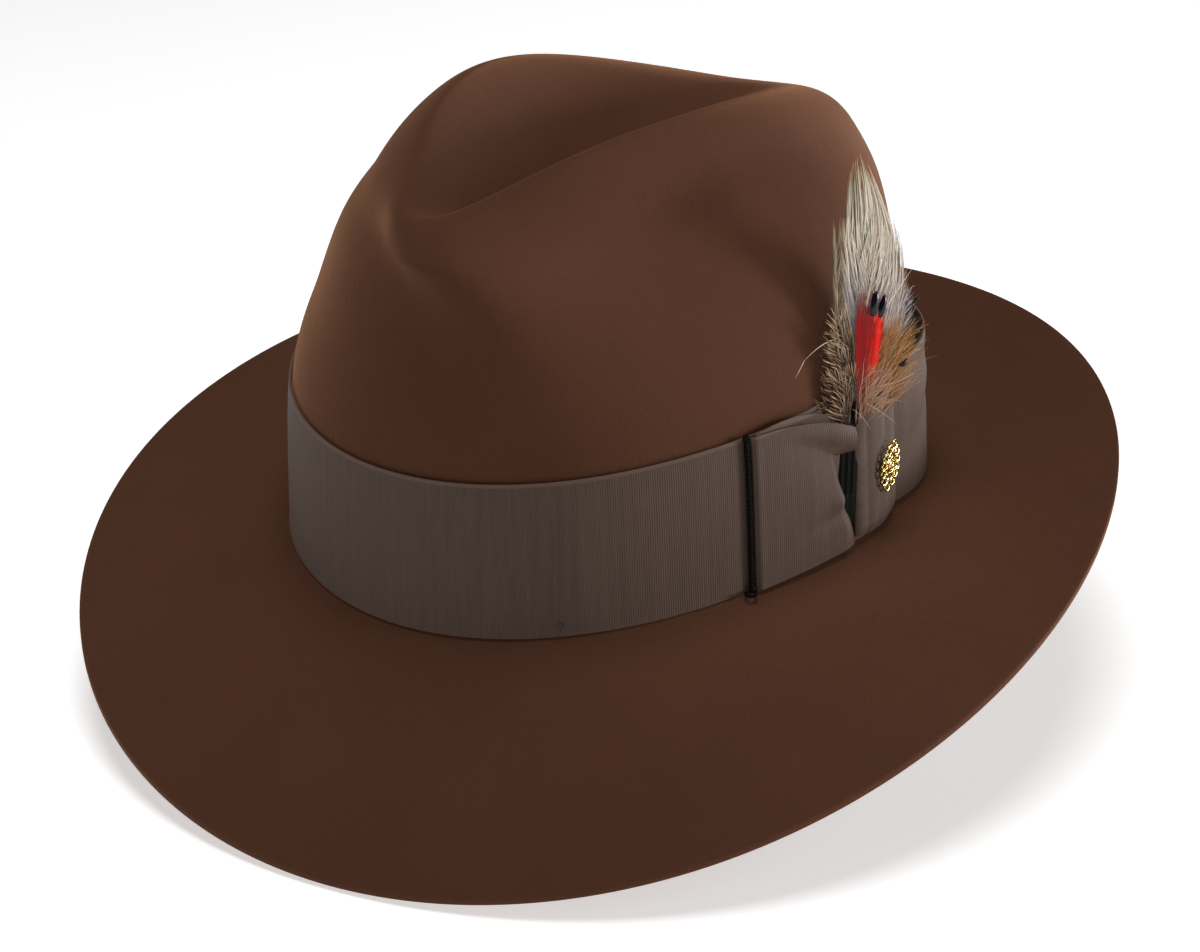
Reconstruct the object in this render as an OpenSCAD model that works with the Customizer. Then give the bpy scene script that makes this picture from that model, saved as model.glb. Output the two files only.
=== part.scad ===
// Snap-brim felt fedora, drawn the way it is put together: felt body, ribbon and bow, leather and
// satin inside, a feather spray tucked behind the bow knot and a small pin through the knot.
// +Z is up, the hat faces -Y and the wearer's left (the bow side) is +X.
// The origin is the centre of the head opening, at the level of the brim break.
// Angles called "a" are measured round the head from the front (-Y) towards the wearer's left (+X).

/* [Head opening] */
// Half of the crown's outside length at the brim break
head_len = 103.3; // [96:0.1:110]
// Half of the crown's outside width at the brim break
head_wid = 88.7; // [82:0.1:95]
// Height of the side of the brim break over its front and back
break_wave = 3.9; // [0:0.1:6]
// Fall of the brim break from front to back
break_tilt = -0.8; // [-3:0.1:3]

/* [Felt] */
// Thickness of the crown felt
crown_felt = 1.8; // [1.4:0.1:2.2]
// Thickness of the brim felt
brim_felt = 2.2; // [1.6:0.1:3]
// Height of the two ridges over the break
ridge_h = 126; // [118:1:130]
// Height of the front lip of the crease
front_lip_h = 110; // [106:1:114]
// Height of the floor of the crease
crease_h = 94; // [92:1:100]
// Depth of the side pinches
pinch = 6; // [0:0.5:8]
// How deep the front pinch on the bow's side is pressed
press = 12; // [0:0.5:14]
// How far the front of the crown stands out in a prow
prow = 14; // [0:1:16]
// How far the shoulder behind the front pinch stands out
shoulder = 3; // [0:0.5:5]

/* [Brim] */
// Half of the brim's width, side to side
brim_half_wid = 156.5; // [145:0.5:165]
// Half of the brim's length, front to back
brim_half_len = 167.5; // [155:0.5:175]
// Distance of the brim's centre behind the head's centre
brim_shift = 4.8; // [0:0.1:8]
// Mean height of the brim's edge
edge_mean = -6.5; // [-12:0.5:0]
// How far the edge falls at the front and rises at the back
edge_tilt = 36; // [10:1:40]
// How far the sides of the edge stand over front and back
edge_wave = 8; // [0:0.5:12]
// Twist of the edge, from hand shaping
edge_twist = 3.2; // [0:0.1:5]
// Crown of the brim's section, down at the front and up at the back
edge_belly = 4; // [0:0.5:6]
// Distance of the snap line in front of the head's centre
snap_at = 107; // [106:0.5:110]

/* [Ribbon] */
// Width of the ribbon
ribbon_w = 45.5; // [40:0.5:47]
// Thickness of the ribbon
ribbon_t = 0.8; // [0.5:0.1:1]
// Angle of the bow's front edge
bow_from = 63; // [58:1:66]
// Angle of the knot's front edge
knot_from = 84.5; // [82:0.5:88]
// Angle of the knot's rear edge
knot_to = 99.5; // [96:0.5:102]
// Angle of the bow's rear edge
bow_to = 134; // [128:1:138]
// How far the knot stands off the felt
knot_proud = 7.4; // [6:0.1:9]
// How far the rear loop stands off the felt
rear_proud = 9.5; // [6:0.1:10]
// Diameter of the wind cord
cord_d = 1.5; // [1:0.1:2]

/* [Inside] */
// Width of the sweatband
sweat_w = 48; // [40:1:50]
// Thickness of the sweatband leather
sweat_t = 1.2; // [0.8:0.1:1.4]
// Thickness of the lining
lining_t = 0.4; // [0.3:0.1:0.6]

/* [Spray and pin] */
// Lean of the spray towards the back
spray_lean = 10; // [4:1:14]
// Lean of the spray in over the crown
spray_tuck = 4; // [3:0.5:6]
// How far the feathers turn to face forward
spray_turn = 30; // [20:1:35]
// Length of the longest feather over the ribbon's top edge
spray_len = 74; // [60:1:80]
// Radius of the pin's post
post_r = 0.5; // [0.4:0.05:0.7]
// Height of the pin over the brim break
pin_h = 24; // [20:1:28]

/* [Hidden] */

felt_brown = [0.27, 0.16, 0.12];
ribbon_brown = [0.30, 0.27, 0.24];
gold = [0.83, 0.66, 0.25];

sides = 64;           // points round every ring of the hat
pinch_at = 70;        // angle of the deepest part of each side pinch
pinch_spread = 40;    // how far round the crown a pinch reaches
ridge_round = 1.6;    // how quickly the ridge climbs from the lip to the sides
step = 0.02;          // step of the numeric slopes
gap = 0.15;           // clearance between layers of one body

// The crown, ring by ring, from the brim break over the ridge and down into the crease:
// half width, half length, shift back, egg shape (narrow front), front, side and back height, pinch
RINGS = [
    [head_wid,        head_len,        0,   0,    0,               0,               0,             0],
    [head_wid - 2.7,  head_len - 2.1,  0,   0.01, 46,              46,              46,            0],
    [head_wid - 7.2,  head_len - 6.3,  2.5, 0.08, 72,              72,              71,            1],
    [head_wid - 12.7, head_len - 9.8,  3,   0.12, 91,              92,              88,    pinch - 2],
    [head_wid - 20.7, head_len - 14.3, 3,   0.16, 101,             106,             100,       pinch],
    [head_wid - 31.7, head_len - 18.3, 1,   0.24, front_lip_h - 2, ridge_h - 8,     108,   pinch / 2],
    [40,              head_len - 27.3, -6,  0.42, front_lip_h,     ridge_h,         110,           0],
    [29,              67.5,            -10, 0.42, front_lip_h - 3, ridge_h - 7,     107,           0],
    [18,              56,              -12, 0.3,  crease_h + 8,    crease_h + 11,   101,           0],
    [8,               46,              -14, 0.1,  crease_h + 1,    crease_h,        crease_h + 1,  0]];
TOP = len(RINGS) - 1;

function spline(p, q, r, s, f) =
    q + 0.5 * f * ((r - p) + f * ((2 * p - 5 * q + 4 * r - s) + f * (3 * q - p - 3 * r + s)));
function ring_row(i) = RINGS[max(0, min(TOP, i))];
function ring_at(t) = let (i = max(0, min(TOP - 1, floor(t))), f = t - i)
    [for (j = [0:7]) spline(ring_row(i - 1)[j], ring_row(i)[j], ring_row(i + 1)[j], ring_row(i + 2)[j], f)];

// Height of the brim break, and how much of it is left further up the crown
function break_z(a) = break_tilt * cos(a) - break_wave * cos(2 * a);
function break_left(t) = t < 1 ? 1 : max(0, 1 - (t - 1) / 4);
function off_pinch(a) = (abs((a + 540) % 360 - 180) - pinch_at) / pinch_spread;
function swell(a, t, at_a, wide, at_t, tall) =
    exp(-pow(((a - at_a + 540) % 360 - 180) / wide, 2) - pow((t - at_t) / tall, 2));
// How far the hand shaping moves the felt out from the crown's oval
function shaped(a, t) =
    prow * swell(a, t, 4.5 + 8 * (4.45 - t), 16.5, 4.45, 1.95) + shoulder * swell(a, t, 94, 19, 5.35, 0.9)
    - press * swell(a, t, 62, 33, 3.4, 1.1);

// A point of the crown's outside: a is the angle, t runs from 0 at the break to TOP in the crease
function crown(a, t) =
    let (r = ring_at(t), side = pow(abs(sin(a)), ridge_round), end_z = cos(a) > 0 ? r[4] : r[6])
    [(r[0] - r[7] * exp(-pow(off_pinch(a), 2))) * sin(a) * (1 - r[3] * cos(a)) + shaped(a, t) * sin(a),
     r[2] - r[1] * cos(a) - shaped(a, t) * cos(a),
     r[5] * side + end_z * (1 - side) + break_z(a) * break_left(t)];
function unit(v) = v / norm(v);
function crown_normal(a, t) =
    unit(cross(crown(a + 1, t) - crown(a - 1, t),
               crown(a, min(TOP, t + step)) - crown(a, max(0, t - step))));
function off_crown(a, t, d) = crown(a, t) + d * crown_normal(a, t);

// A point beside the ribbon: h is the height up it, d the distance off the felt
function beside(a, h, d) = off_crown(a, h / 46, d);

// A point of the brim's top: u runs from 0 at the foot of the crown to 1 at the edge
function edge(a) =
    [brim_half_wid * sin(a) * (1 + 0.05 * cos(a)),
     brim_shift - brim_half_len * cos(a),
     edge_mean - edge_tilt * cos(a) - edge_wave * cos(2 * a) - edge_twist * sin(2 * a)];
function break_point(a, inset) =
    [(head_wid - inset) * sin(a), -(head_len - inset) * cos(a), break_z(a) - gap];
function brim_top(a, u) =
    break_point(a, 0) + u * (edge(a) - break_point(a, 0)) + [0, 0, edge_belly * cos(a) * sin(180 * u)];

// Solids -------------------------------------------------------------------------------------

// Two triangles for each cell of a grid of points, rows by cols, starting at point "at"
function cells(rows, cols, at, closed, flip) =
    [for (r = [0:rows - 2], c = [0:closed ? cols - 1 : cols - 2])
        let (p = at + r * cols + c, q = at + r * cols + (c + 1) % cols)
        each flip ? [[p, q, q + cols], [p, q + cols, p + cols]]
                  : [[p, q + cols, q], [p, p + cols, q + cols]]];

// A closed ring of skin: outer and inner are lists of rows, and every row goes right round
module ring_shell(outer, inner) {
    rows = len(outer);
    cols = len(outer[0]);
    all = rows * cols;
    ends = [for (c = [0:cols - 1]) let (n = (c + 1) % cols, t = (rows - 1) * cols)
        each [[c, n, all + n], [c, all + n, all + c],
              [t + c, all + t + n, t + n], [t + c, all + t + c, all + t + n]]];
    polyhedron([for (row = outer) each row, for (row = inner) each row],
        concat(cells(rows, cols, 0, true, false), cells(rows, cols, all, true, true), ends));
}

// Triangles that close a ring of cols points from side to side, across its long axis
function lid(at, cols, flip) =
    [for (c = [0:cols / 2 - 1])
        let (p = at + c, q = at + c + 1, r = at + (cols - c) % cols, s = at + cols - c - 1)
        each c == 0 ? [flip ? [p, s, q] : [p, q, s]]
           : q == s ? [flip ? [p, r, q] : [p, q, r]]
           : flip ? [[p, s, q], [p, r, s]] : [[p, q, s], [p, s, r]]];

// A skin that is open below and closed over the top
module dome_shell(outer, inner) {
    rows = len(outer);
    cols = len(outer[0]);
    all = rows * cols;
    foot = [for (c = [0:cols - 1]) let (n = (c + 1) % cols)
        each [[c, n, all + n], [c, all + n, all + c]]];
    polyhedron([for (row = outer) each row, for (row = inner) each row],
        concat(cells(rows, cols, 0, true, false), cells(rows, cols, all, true, true), foot,
               lid((rows - 1) * cols, cols, true), lid(all + (rows - 1) * cols, cols, false)));
}

// A leaf of ribbon or leather: outer and inner are grids that don't go right round
module leaf(outer, inner) {
    rows = len(outer);
    cols = len(outer[0]);
    all = rows * cols;
    last = (rows - 1) * cols;
    long = [for (c = [0:cols - 2])
        each [[c, c + 1, all + c + 1], [c, all + c + 1, all + c],
              [last + c, all + last + c + 1, last + c + 1],
              [last + c, all + last + c, all + last + c + 1]]];
    short = [for (r = [0:rows - 2]) let (p = r * cols, q = p + cols - 1)
        each [[p, all + p, all + p + cols], [p, all + p + cols, p + cols],
              [q, q + cols, all + q + cols], [q, all + q + cols, all + q]]];
    polyhedron([for (row = outer) each row, for (row = inner) each row],
        concat(cells(rows, cols, 0, false, false), cells(rows, cols, all, false, true), long, short));
}

// A tube along a list of points; round tubes close on themselves, others end in flat caps
function sweep_ring(path, i, r, n, closed) =
    let (m = len(path),
         before = path[closed ? (i + m - 1) % m : max(0, i - 1)],
         after = path[closed ? (i + 1) % m : min(m - 1, i + 1)],
         along = unit(after - before),
         side = unit(cross(along, abs(along[2]) > 0.9 ? [0, 1, 0] : [0, 0, 1])),
         up = cross(side, along))
    [for (k = [0:n - 1]) path[i] + r * (cos(360 * k / n) * side + sin(360 * k / n) * up)];
module tube(path, r, n, closed) {
    m = len(path);
    points = [for (i = [0:m - 1]) each sweep_ring(path, i, r, n, closed)];
    walls = [for (i = [0:closed ? m - 1 : m - 2], k = [0:n - 1])
        let (p = i * n, q = ((i + 1) % m) * n, j = (k + 1) % n)
        each [[p + k, p + j, q + j], [p + k, q + j, q + k]]];
    caps = closed ? [] : [[for (k = [n - 1:-1:0]) k], [for (k = [0:n - 1]) (m - 1) * n + k]];
    polyhedron(points, concat(walls, caps));
}

ROUND = [for (i = [0:sides - 1]) 360 * i / sides];
function rows_at(ts, d) = [for (t = ts) [for (a = ROUND) off_crown(a, t, d)]];

// A piece of ribbon in the bow: from one angle to another, low and high edges, and its offset
function bow_rows(from, to, low, high, steps, skin) =
    [for (k = [0:4]) [for (i = [0:steps])
        let (f = i / steps, a = from + (to - from) * f, h = low(f) + (high(f) - low(f)) * k / 4)
        beside(a, h, skin(f, k / 4))]];

// Felt ----------------------------------------------------------------------------------------

SIDE_STEPS = [0, 0.35, 0.7, 1, 1.4, 1.8, 2.2, 2.6, 3, 3.4, 3.8, 4.2];
TIP_STEPS = [4.2, 4.5, 4.8, 5.1, 5.4, 5.7, 6, 6.3, 6.6, 7, 7.5, 8, 8.5, TOP];

// The side wall of the crown, from the break up to where the top starts to turn in
module side_crown() {
    color(felt_brown) ring_shell(rows_at(SIDE_STEPS, 0), rows_at(SIDE_STEPS, -crown_felt));
}
// The top of the crown, with its ridges and crease
module crown_tip() {
    color(felt_brown) dome_shell(rows_at(TIP_STEPS, 0), rows_at(TIP_STEPS, -crown_felt));
}

BRIM_STEPS = [0, 0.12, 0.3, 0.5, 0.7, 0.88, 1];
module whole_brim() {
    // the first ring is a flat shelf below the crown's wall
    top = [[for (a = ROUND) break_point(a, crown_felt)], for (u = BRIM_STEPS) [for (a = ROUND) brim_top(a, u)]];
    under = [for (row = top) [for (p = row) p - [0, 0, brim_felt]]];
    ring_shell(under, top);
}
module brim() {
    color(felt_brown) difference() {
        whole_brim();
        translate([-200, -snap_at - 200, -100]) cube([400, 200, 200]);
    }
}
module snap_brim() {
    color(felt_brown) intersection() {
        whole_brim();
        translate([-200, -snap_at - 200.3, -100]) cube([400, 200, 200]);
    }
}

// Ribbon --------------------------------------------------------------------------------------

module hatband() {
    ts = [0.02, 0.35, 0.7, ribbon_w / 46];
    color(ribbon_brown) ring_shell(rows_at(ts, gap + ribbon_t), rows_at(ts, gap));
}

band_face = gap + ribbon_t;
base_face = band_face + 0.1 + ribbon_t;

// A stitch: a short bar of thread on the ribbon
module stitch(a, h, d, l, tilt) {
    translate(beside(a, h, d)) rotate([0, 0, a - 90]) rotate([tilt, 0, 0]) {
        cylinder(h = l, r = 0.35, center = true, $fn = 16);
        for (end = [-1, 1]) translate([0, 0, end * l / 2]) sphere(r = 0.35, $fn = 16);
    }
}
module band_tacks() {
    color([0.16, 0.13, 0.12]) {
        stitch(29, 6, band_face + 0.45, 1.4, 40);
        stitch(180, 5, band_face + 0.45, 1.4, 40);
        stitch(270, 5, band_face + 0.45, 1.4, 40);
    }
}
module bow_stitches() {
    color([0.5, 0.42, 0.34]) {
        stitch(bow_from + 0.3, ribbon_w - 3, band_face + 0.5, 1.2, 20);
        stitch(bow_to + 0.9, 6, band_face + 0.45, 1.4, 20);
        stitch(bow_to + 0.9, ribbon_w - 6, band_face + 0.45, 1.4, 20);
    }
}

module bow_base() {
    rows = function (d) bow_rows(bow_from + 1, bow_to - 1, function (f) 1.5, function (f) 44, 26,
        function (f, k) band_face + 0.1 + d);
    color(ribbon_brown * 0.9) leaf(rows(ribbon_t), rows(0));
}
module bow_front_under_leaf() {
    rows = function (d) bow_rows(bow_from + 2, knot_from - 5, function (f) 24,
        function (f) 45.4 + 9.5 * f - 17 * f * f, 8, function (f, k) base_face + 0.15 + d);
    color(ribbon_brown * 0.85) leaf(rows(ribbon_t * 0.7), rows(0));
}
module bow_front_loop() {
    // swells from the folded edge towards the knot
    swell = function (f, k) base_face + 0.9 + 3.1 * pow(f, 1.3) + 0.8 * sin(180 * k) * f;
    rows = function (d) bow_rows(bow_from, knot_from - 1, function (f) 0.8 + 1.5 * f,
        function (f) 45.4 - 8.8 * pow(f, 2.2), 8, function (f, k) swell(f, k) + d);
    color(ribbon_brown) leaf(rows(ribbon_t), rows(0));
}
module bow_rear_loop() {
    swell = function (f, k) base_face + 0.6 + (rear_proud - 3.3) * pow(sin(180 * (0.02 + 0.95 * f)), 0.8);
    rows = function (d) bow_rows(knot_to + 0.25, bow_to, function (f) 3.4, function (f) 43 + 8 * f, 12,
        function (f, k) swell(f, k) + d);
    color(ribbon_brown) leaf(rows(ribbon_t), rows(0));
}
module bow_knot() {
    wrap = function (f, k) base_face + 2.2 + (knot_proud - 4.9) * pow(sin(180 * f), 0.5);
    top = function (f) 36 + 5.5 * sin(90 * min(1, 2 * f));
    rows = function (d) bow_rows(knot_from, knot_to, function (f) 2.5, top, 10, function (f, k) wrap(f, k) + d);
    color(ribbon_brown) difference() {
        leaf(rows(ribbon_t), rows(0));
        translate([pin_x - 8, pin_y, pin_h]) rotate([0, 90, 0]) cylinder(h = 16, r = post_r + 0.05, $fn = 32);
    }
}

// Wind cord -----------------------------------------------------------------------------------

cord_a = bow_from - 0.8;
cord_off = band_face + 0.15 + cord_d / 2;
module wind_cord() {
    color([0.05, 0.05, 0.05])
        tube([for (h = [3.2:2.8:44]) beside(cord_a, h, cord_off)], cord_d / 2, 8, false);
}
module wind_cord_anchor() {
    bead_r = 1.1;
    color([0.05, 0.05, 0.05]) translate(beside(cord_a, 45.6, band_face + gap + bead_r)) sphere(r = bead_r, $fn = 24);
}
module wind_cord_loop() {
    loop_r = 1.5;
    wire_r = 0.6;
    color([0.05, 0.05, 0.05]) translate(beside(cord_a - 0.7, 1.3, band_face + 2 * gap + loop_r + wire_r))
        rotate_extrude($fn = 40) translate([loop_r, 0]) circle(r = wire_r, $fn = 20);
}

// Inside --------------------------------------------------------------------------------------

sweat_out = crown_felt + 0.9;
module sweatband() {
    ts = [0, sweat_w / 92, sweat_w / 46];
    color([0.33, 0.2, 0.12]) ring_shell(rows_at(ts, -sweat_out), rows_at(ts, -sweat_out - sweat_t));
}
module sweatband_reed() {
    path = [for (a = ROUND) off_crown(a, 0, -sweat_out - 0.5) - [0, 0, 1]];
    color([0.8, 0.75, 0.62]) tube(path, 0.8, 6, true);
}
module sweatband_bow() {
    // flat ribbon bow over the seam at the back
    translate([0, head_len - sweat_out - sweat_t - 1.6, 12]) rotate([90, 0, 0])
        color([0.2, 0.14, 0.1]) linear_extrude(0.8)
            polygon([[-9, -4], [-2, -2.5], [2, -2.5], [9, -4], [9, 4], [2, 2.5], [-2, 2.5], [-9, 4]]);
}
module size_tab() {
    rows = function (d) [for (h = [14, 24, 34]) [for (i = [0:6]) beside(196 + i * 1.6, h, -crown_felt - d)]];
    color([0.9, 0.88, 0.82]) leaf(rows(0.25), rows(0.5));
}
LINING_STEPS = [0.98 * 36 / 46, 1, 1.4, 1.8];
module lining_side() {
    color([0.55, 0.42, 0.3]) ring_shell(rows_at(LINING_STEPS, -crown_felt - 0.25),
        rows_at(LINING_STEPS, -crown_felt - 0.25 - lining_t));
}
// An oval dome below the crease: half width, half length and height of each ring
TIP = [[75, 90, 66], [74, 89, 72], [68, 82, 78], [54, 66, 82], [34, 42, 84.5], [10, 14, 85.5]];
function tip_rows(rings, drop) =
    [for (r = rings) [for (i = [0:31]) [r[0] * sin(i * 11.25), 2 - r[1] * cos(i * 11.25), r[2] - drop]]];
module lining_tip() {
    color([0.6, 0.46, 0.33]) dome_shell(tip_rows(TIP, 0), tip_rows([for (r = TIP) [r[0] - lining_t,
        r[1] - lining_t, r[2]]], lining_t));
}
module tip_shield() {
    shield = [[44, 54, 81], [30, 38, 82], [10, 14, 82.8]];
    color([0.85, 0.88, 0.9, 0.4]) dome_shell(tip_rows(shield, 0), tip_rows([for (r = shield) [r[0] - 0.3,
        r[1] - 0.3, r[2]]], 0.3));
}

// Feather spray -------------------------------------------------------------------------------
// Its own frame: +Z up the quills, +Y towards the back of the hat, +X out from the crown.

spray_x = head_wid - 0.1;
spray_y = -11;
module spray_frame() {
    translate([spray_x, spray_y, 44]) rotate([-spray_lean, -spray_tuck, 0]) children();
}
// A flat vane standing in the spray, turned to face forward, with its outline given up the quill
module vane(outline, x, thick) {
    spray_frame() rotate([0, 0, -spray_turn]) translate([x, 0, 0]) rotate([90, 0, 90])
        linear_extrude(thick) polygon(outline);
}
module feather_card() {
    color([0.1, 0.09, 0.08]) spray_frame() translate([-0.25, -2.4, -32]) cube([0.5, 8, 31]);
}
module feather_quills() {
    color([0.85, 0.8, 0.7]) spray_frame() for (y = [-0.4, 1.6, 3.6])
        translate([0.65, y, -24]) cylinder(h = 34, r = 0.35, $fn = 16);
}
module feather_binding() {
    color([0.12, 0.1, 0.1]) spray_frame() translate([0, 1.6, 3]) difference() {
        translate([0.1, -2.9, 0]) cube([1.1, 5.8, 4]);
        for (y = [-2, 0, 2]) translate([0.65, y, -1]) cylinder(h = 6, r = 0.37, $fn = 16);
    }
}
module feather_main_hackle() {
    color([0.82, 0.79, 0.7]) vane([[0, 12], [-2, 24], [-4, 50], [-2, 61], [0, spray_len], [4, spray_len - 3],
        [10, 62], [16, 50], [19, 38], [18, 23], [8, 12]], 0.3, 0.8);
}
module feather_side_plume() {
    color([0.66, 0.55, 0.36]) vane([[-4, 9], [-7.5, 22], [-7.5, 36], [-6, 50], [-4.7, 46], [-2.9, 26],
        [-1.9, 13]], 0.3, 0.8);
}
module feather_red() {
    color([0.72, 0.1, 0.07]) vane([[1, 7], [-1, 19], [-1, 33], [3, 37], [11, 35], [12, 21], [9, 8]], 3.6, 0.8);
}
module feather_black_tips() {
    color([0.05, 0.04, 0.06]) vane([[3, 29], [2, 34], [3, 38], [6, 36.5], [9.5, 37.5], [10, 33], [9, 29]],
        4.7, 0.7);
}
module feather_tan_fluff() {
    color([0.62, 0.42, 0.26]) vane([[5, 3], [12, 18], [11, 24], [19, 24], [24, 17], [22, 10], [14, 3]], 2.4, 0.9);
}
module feather_brown_hackle() {
    color([0.33, 0.23, 0.16]) vane([[1, 3], [-6, 3], [-10, 10], [-10, 21], [-7, 26], [-1, 21], [2, 8]], 2.4, 0.9);
}
module feather_white_barbs() {
    color([0.88, 0.86, 0.88]) vane([[20, 24], [20, 38], [22, 36], [24, 24], [22, 22]], 0.3, 0.8);
}

// Pin -----------------------------------------------------------------------------------------

pin_y = 5;
pin_x = head_wid + knot_proud - 1.2;
badge_off = 0.7;      // back of the badge, out from the knot
post_len = 4.6;       // from the back of the badge to the post's tip
module pin_frame() {
    translate([pin_x, pin_y, pin_h]) rotate([0, 90, 0]) children();
}
module pin_badge() {
    // openwork oval of scrolls round a small boss
    color(gold) pin_frame() rotate(-18) translate([0, 0, badge_off]) linear_extrude(1.2) {
        for (i = [0:11]) rotate(i * 30) translate([6.2 - 2 * abs(sin(i * 30)), 0]) difference() {
            circle(r = 1.85, $fn = 24);
            circle(r = 0.9, $fn = 24);
        }
        circle(r = 2.6, $fn = 32);
    }
}
module pin_post() {
    color(gold) pin_frame() translate([0, 0, badge_off - post_len]) cylinder(h = post_len, r = post_r, $fn = 32);
}
module pin_clutch() {
    color(gold * 0.9) pin_frame() translate([0, 0, -3.5]) difference() {
        union() {
            cylinder(h = 0.6, r = 2.6, $fn = 40);
            cylinder(h = 1.8, r = 1.7, $fn = 40);
        }
        translate([0, 0, -1]) cylinder(h = 5, r = post_r + 0.02, $fn = 32);
    }
}

side_crown();
crown_tip();
brim();
snap_brim();
hatband();
band_tacks();
bow_base();
bow_front_under_leaf();
bow_front_loop();
bow_rear_loop();
bow_knot();
bow_stitches();
wind_cord();
wind_cord_anchor();
wind_cord_loop();
sweatband();
sweatband_reed();
sweatband_bow();
size_tab();
lining_side();
lining_tip();
tip_shield();
feather_card();
feather_quills();
feather_binding();
feather_main_hackle();
feather_side_plume();
feather_red();
feather_black_tips();
feather_tan_fluff();
feather_brown_hackle();
feather_white_barbs();
pin_badge();
pin_post();
pin_clutch();
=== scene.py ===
"""Looks of the brown felt fedora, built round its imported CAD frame.

Shapes are worked out in millimetres in the CAD frame (+Z up, the hat faces -Y, the bow is on +X)
and turned into metres when a mesh is made. Angles "a" go round the head in degrees, from the front
towards the bow side. "h" is a height up the side of the crown and "d" a distance off the felt.
"""

import bmesh
import bpy
import numpy as np
from mathutils import Matrix, Vector


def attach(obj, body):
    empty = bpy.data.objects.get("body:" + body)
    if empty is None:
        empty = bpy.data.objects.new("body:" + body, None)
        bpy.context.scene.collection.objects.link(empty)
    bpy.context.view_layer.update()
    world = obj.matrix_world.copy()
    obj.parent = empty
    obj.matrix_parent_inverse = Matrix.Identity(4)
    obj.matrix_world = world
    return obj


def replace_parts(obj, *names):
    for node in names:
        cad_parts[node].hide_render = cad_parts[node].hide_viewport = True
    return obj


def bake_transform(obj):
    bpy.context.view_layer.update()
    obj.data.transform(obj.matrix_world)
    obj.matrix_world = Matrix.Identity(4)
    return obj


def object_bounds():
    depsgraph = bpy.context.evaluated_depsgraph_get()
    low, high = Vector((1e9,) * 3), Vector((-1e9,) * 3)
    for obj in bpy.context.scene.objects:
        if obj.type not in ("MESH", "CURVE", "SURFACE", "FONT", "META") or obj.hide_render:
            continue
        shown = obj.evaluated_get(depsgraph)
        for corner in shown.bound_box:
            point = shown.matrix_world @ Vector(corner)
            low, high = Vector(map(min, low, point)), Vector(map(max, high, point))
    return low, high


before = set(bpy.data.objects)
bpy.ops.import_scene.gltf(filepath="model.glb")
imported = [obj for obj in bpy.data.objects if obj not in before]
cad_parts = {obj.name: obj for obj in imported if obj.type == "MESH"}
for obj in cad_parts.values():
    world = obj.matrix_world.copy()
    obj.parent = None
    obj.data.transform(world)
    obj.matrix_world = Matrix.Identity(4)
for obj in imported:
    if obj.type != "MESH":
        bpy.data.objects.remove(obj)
cad_box = [list(corner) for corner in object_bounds()]
rng = np.random.default_rng(11)
MM = 0.001

# Sizes shared with the CAD source ------------------------------

HEAD_LEN, HEAD_WID = 103.3, 88.7
WALL_H = 46          # height of the crown's second ring, where t is 1
BREAK_WAVE, BREAK_TILT = 3.9, -0.8
CROWN_FELT, BRIM_FELT = 1.8, 2.2
RIDGE_H, FRONT_LIP_H, CREASE_H = 126, 110, 94
PINCH, PINCH_AT, PINCH_SPREAD, RIDGE_ROUND = 6, 70, 40, 1.6
PRESS, PROW, SHOULDER = 12, 14, 3
BRIM_HALF_WID, BRIM_HALF_LEN, BRIM_SHIFT = 156.5, 167.5, 4.8
EDGE_MEAN, EDGE_TILT, EDGE_WAVE, EDGE_TWIST, EDGE_BELLY = -6.5, 36, 8, 3.2, 4
GAP = 0.15
RIBBON_W, RIBBON_T = 45.5, 0.8
BAND_FACE = GAP + RIBBON_T
BASE_FACE = BAND_FACE + 0.1 + RIBBON_T
BOW_FROM, KNOT_FROM, KNOT_TO, BOW_TO = 63, 84.5, 99.5, 134
SWEAT_OUT, SWEAT_T, SWEAT_W = CROWN_FELT + 0.9, 1.2, 48
PROUD_REAR = 9.5
SPRAY_AT, SPRAY_LEAN, SPRAY_TUCK, SPRAY_TURN = (HEAD_WID - 0.1, -11, 44), 10, 4, 30
PIN_AT = (94.9, 5, 24)
BADGE_OFF = 0.7

# Rings of the crown: half width, half length, shift back, egg, front, side and back height, pinch
RINGS = np.array([
    [HEAD_WID, HEAD_LEN, 0, 0, 0, 0, 0, 0],
    [HEAD_WID - 2.7, HEAD_LEN - 2.1, 0, 0.01, WALL_H, WALL_H, WALL_H, 0],
    [HEAD_WID - 7.2, HEAD_LEN - 6.3, 2.5, 0.08, 72, 72, 71, 1],
    [HEAD_WID - 12.7, HEAD_LEN - 9.8, 3, 0.12, 91, 92, 88, PINCH - 2],
    [HEAD_WID - 20.7, HEAD_LEN - 14.3, 3, 0.16, 101, 106, 100, PINCH],
    [HEAD_WID - 31.7, HEAD_LEN - 18.3, 1, 0.24, FRONT_LIP_H - 2, RIDGE_H - 8, 108, PINCH / 2],
    [40, HEAD_LEN - 27.3, -6, 0.42, FRONT_LIP_H, RIDGE_H, 110, 0],
    [29, 67.5, -10, 0.42, FRONT_LIP_H - 3, RIDGE_H - 7, 107, 0],
    [18, 56, -12, 0.3, CREASE_H + 8, CREASE_H + 11, 101, 0],
    [8, 46, -14, 0.1, CREASE_H + 1, CREASE_H, CREASE_H + 1, 0]])
TOP = len(RINGS) - 1


def sin(a):
    return np.sin(np.radians(a))


def cos(a):
    return np.cos(np.radians(a))


def smooth(x, low, high):
    """0 below low, 1 above high, and a smooth step between."""
    f = np.clip((np.asarray(x, float) - low) / (high - low), 0, 1)
    return f * f * (3 - 2 * f)


def bump(x, centre, width):
    return np.exp(-((np.asarray(x, float) - centre) / width) ** 2)


def grids(*values):
    return np.broadcast_arrays(*(np.asarray(value, float) for value in values))


def xyz(x, y, z):
    """Points from their three parts, which are spread over one shape."""
    return np.stack(grids(x, y, z), -1)


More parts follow.
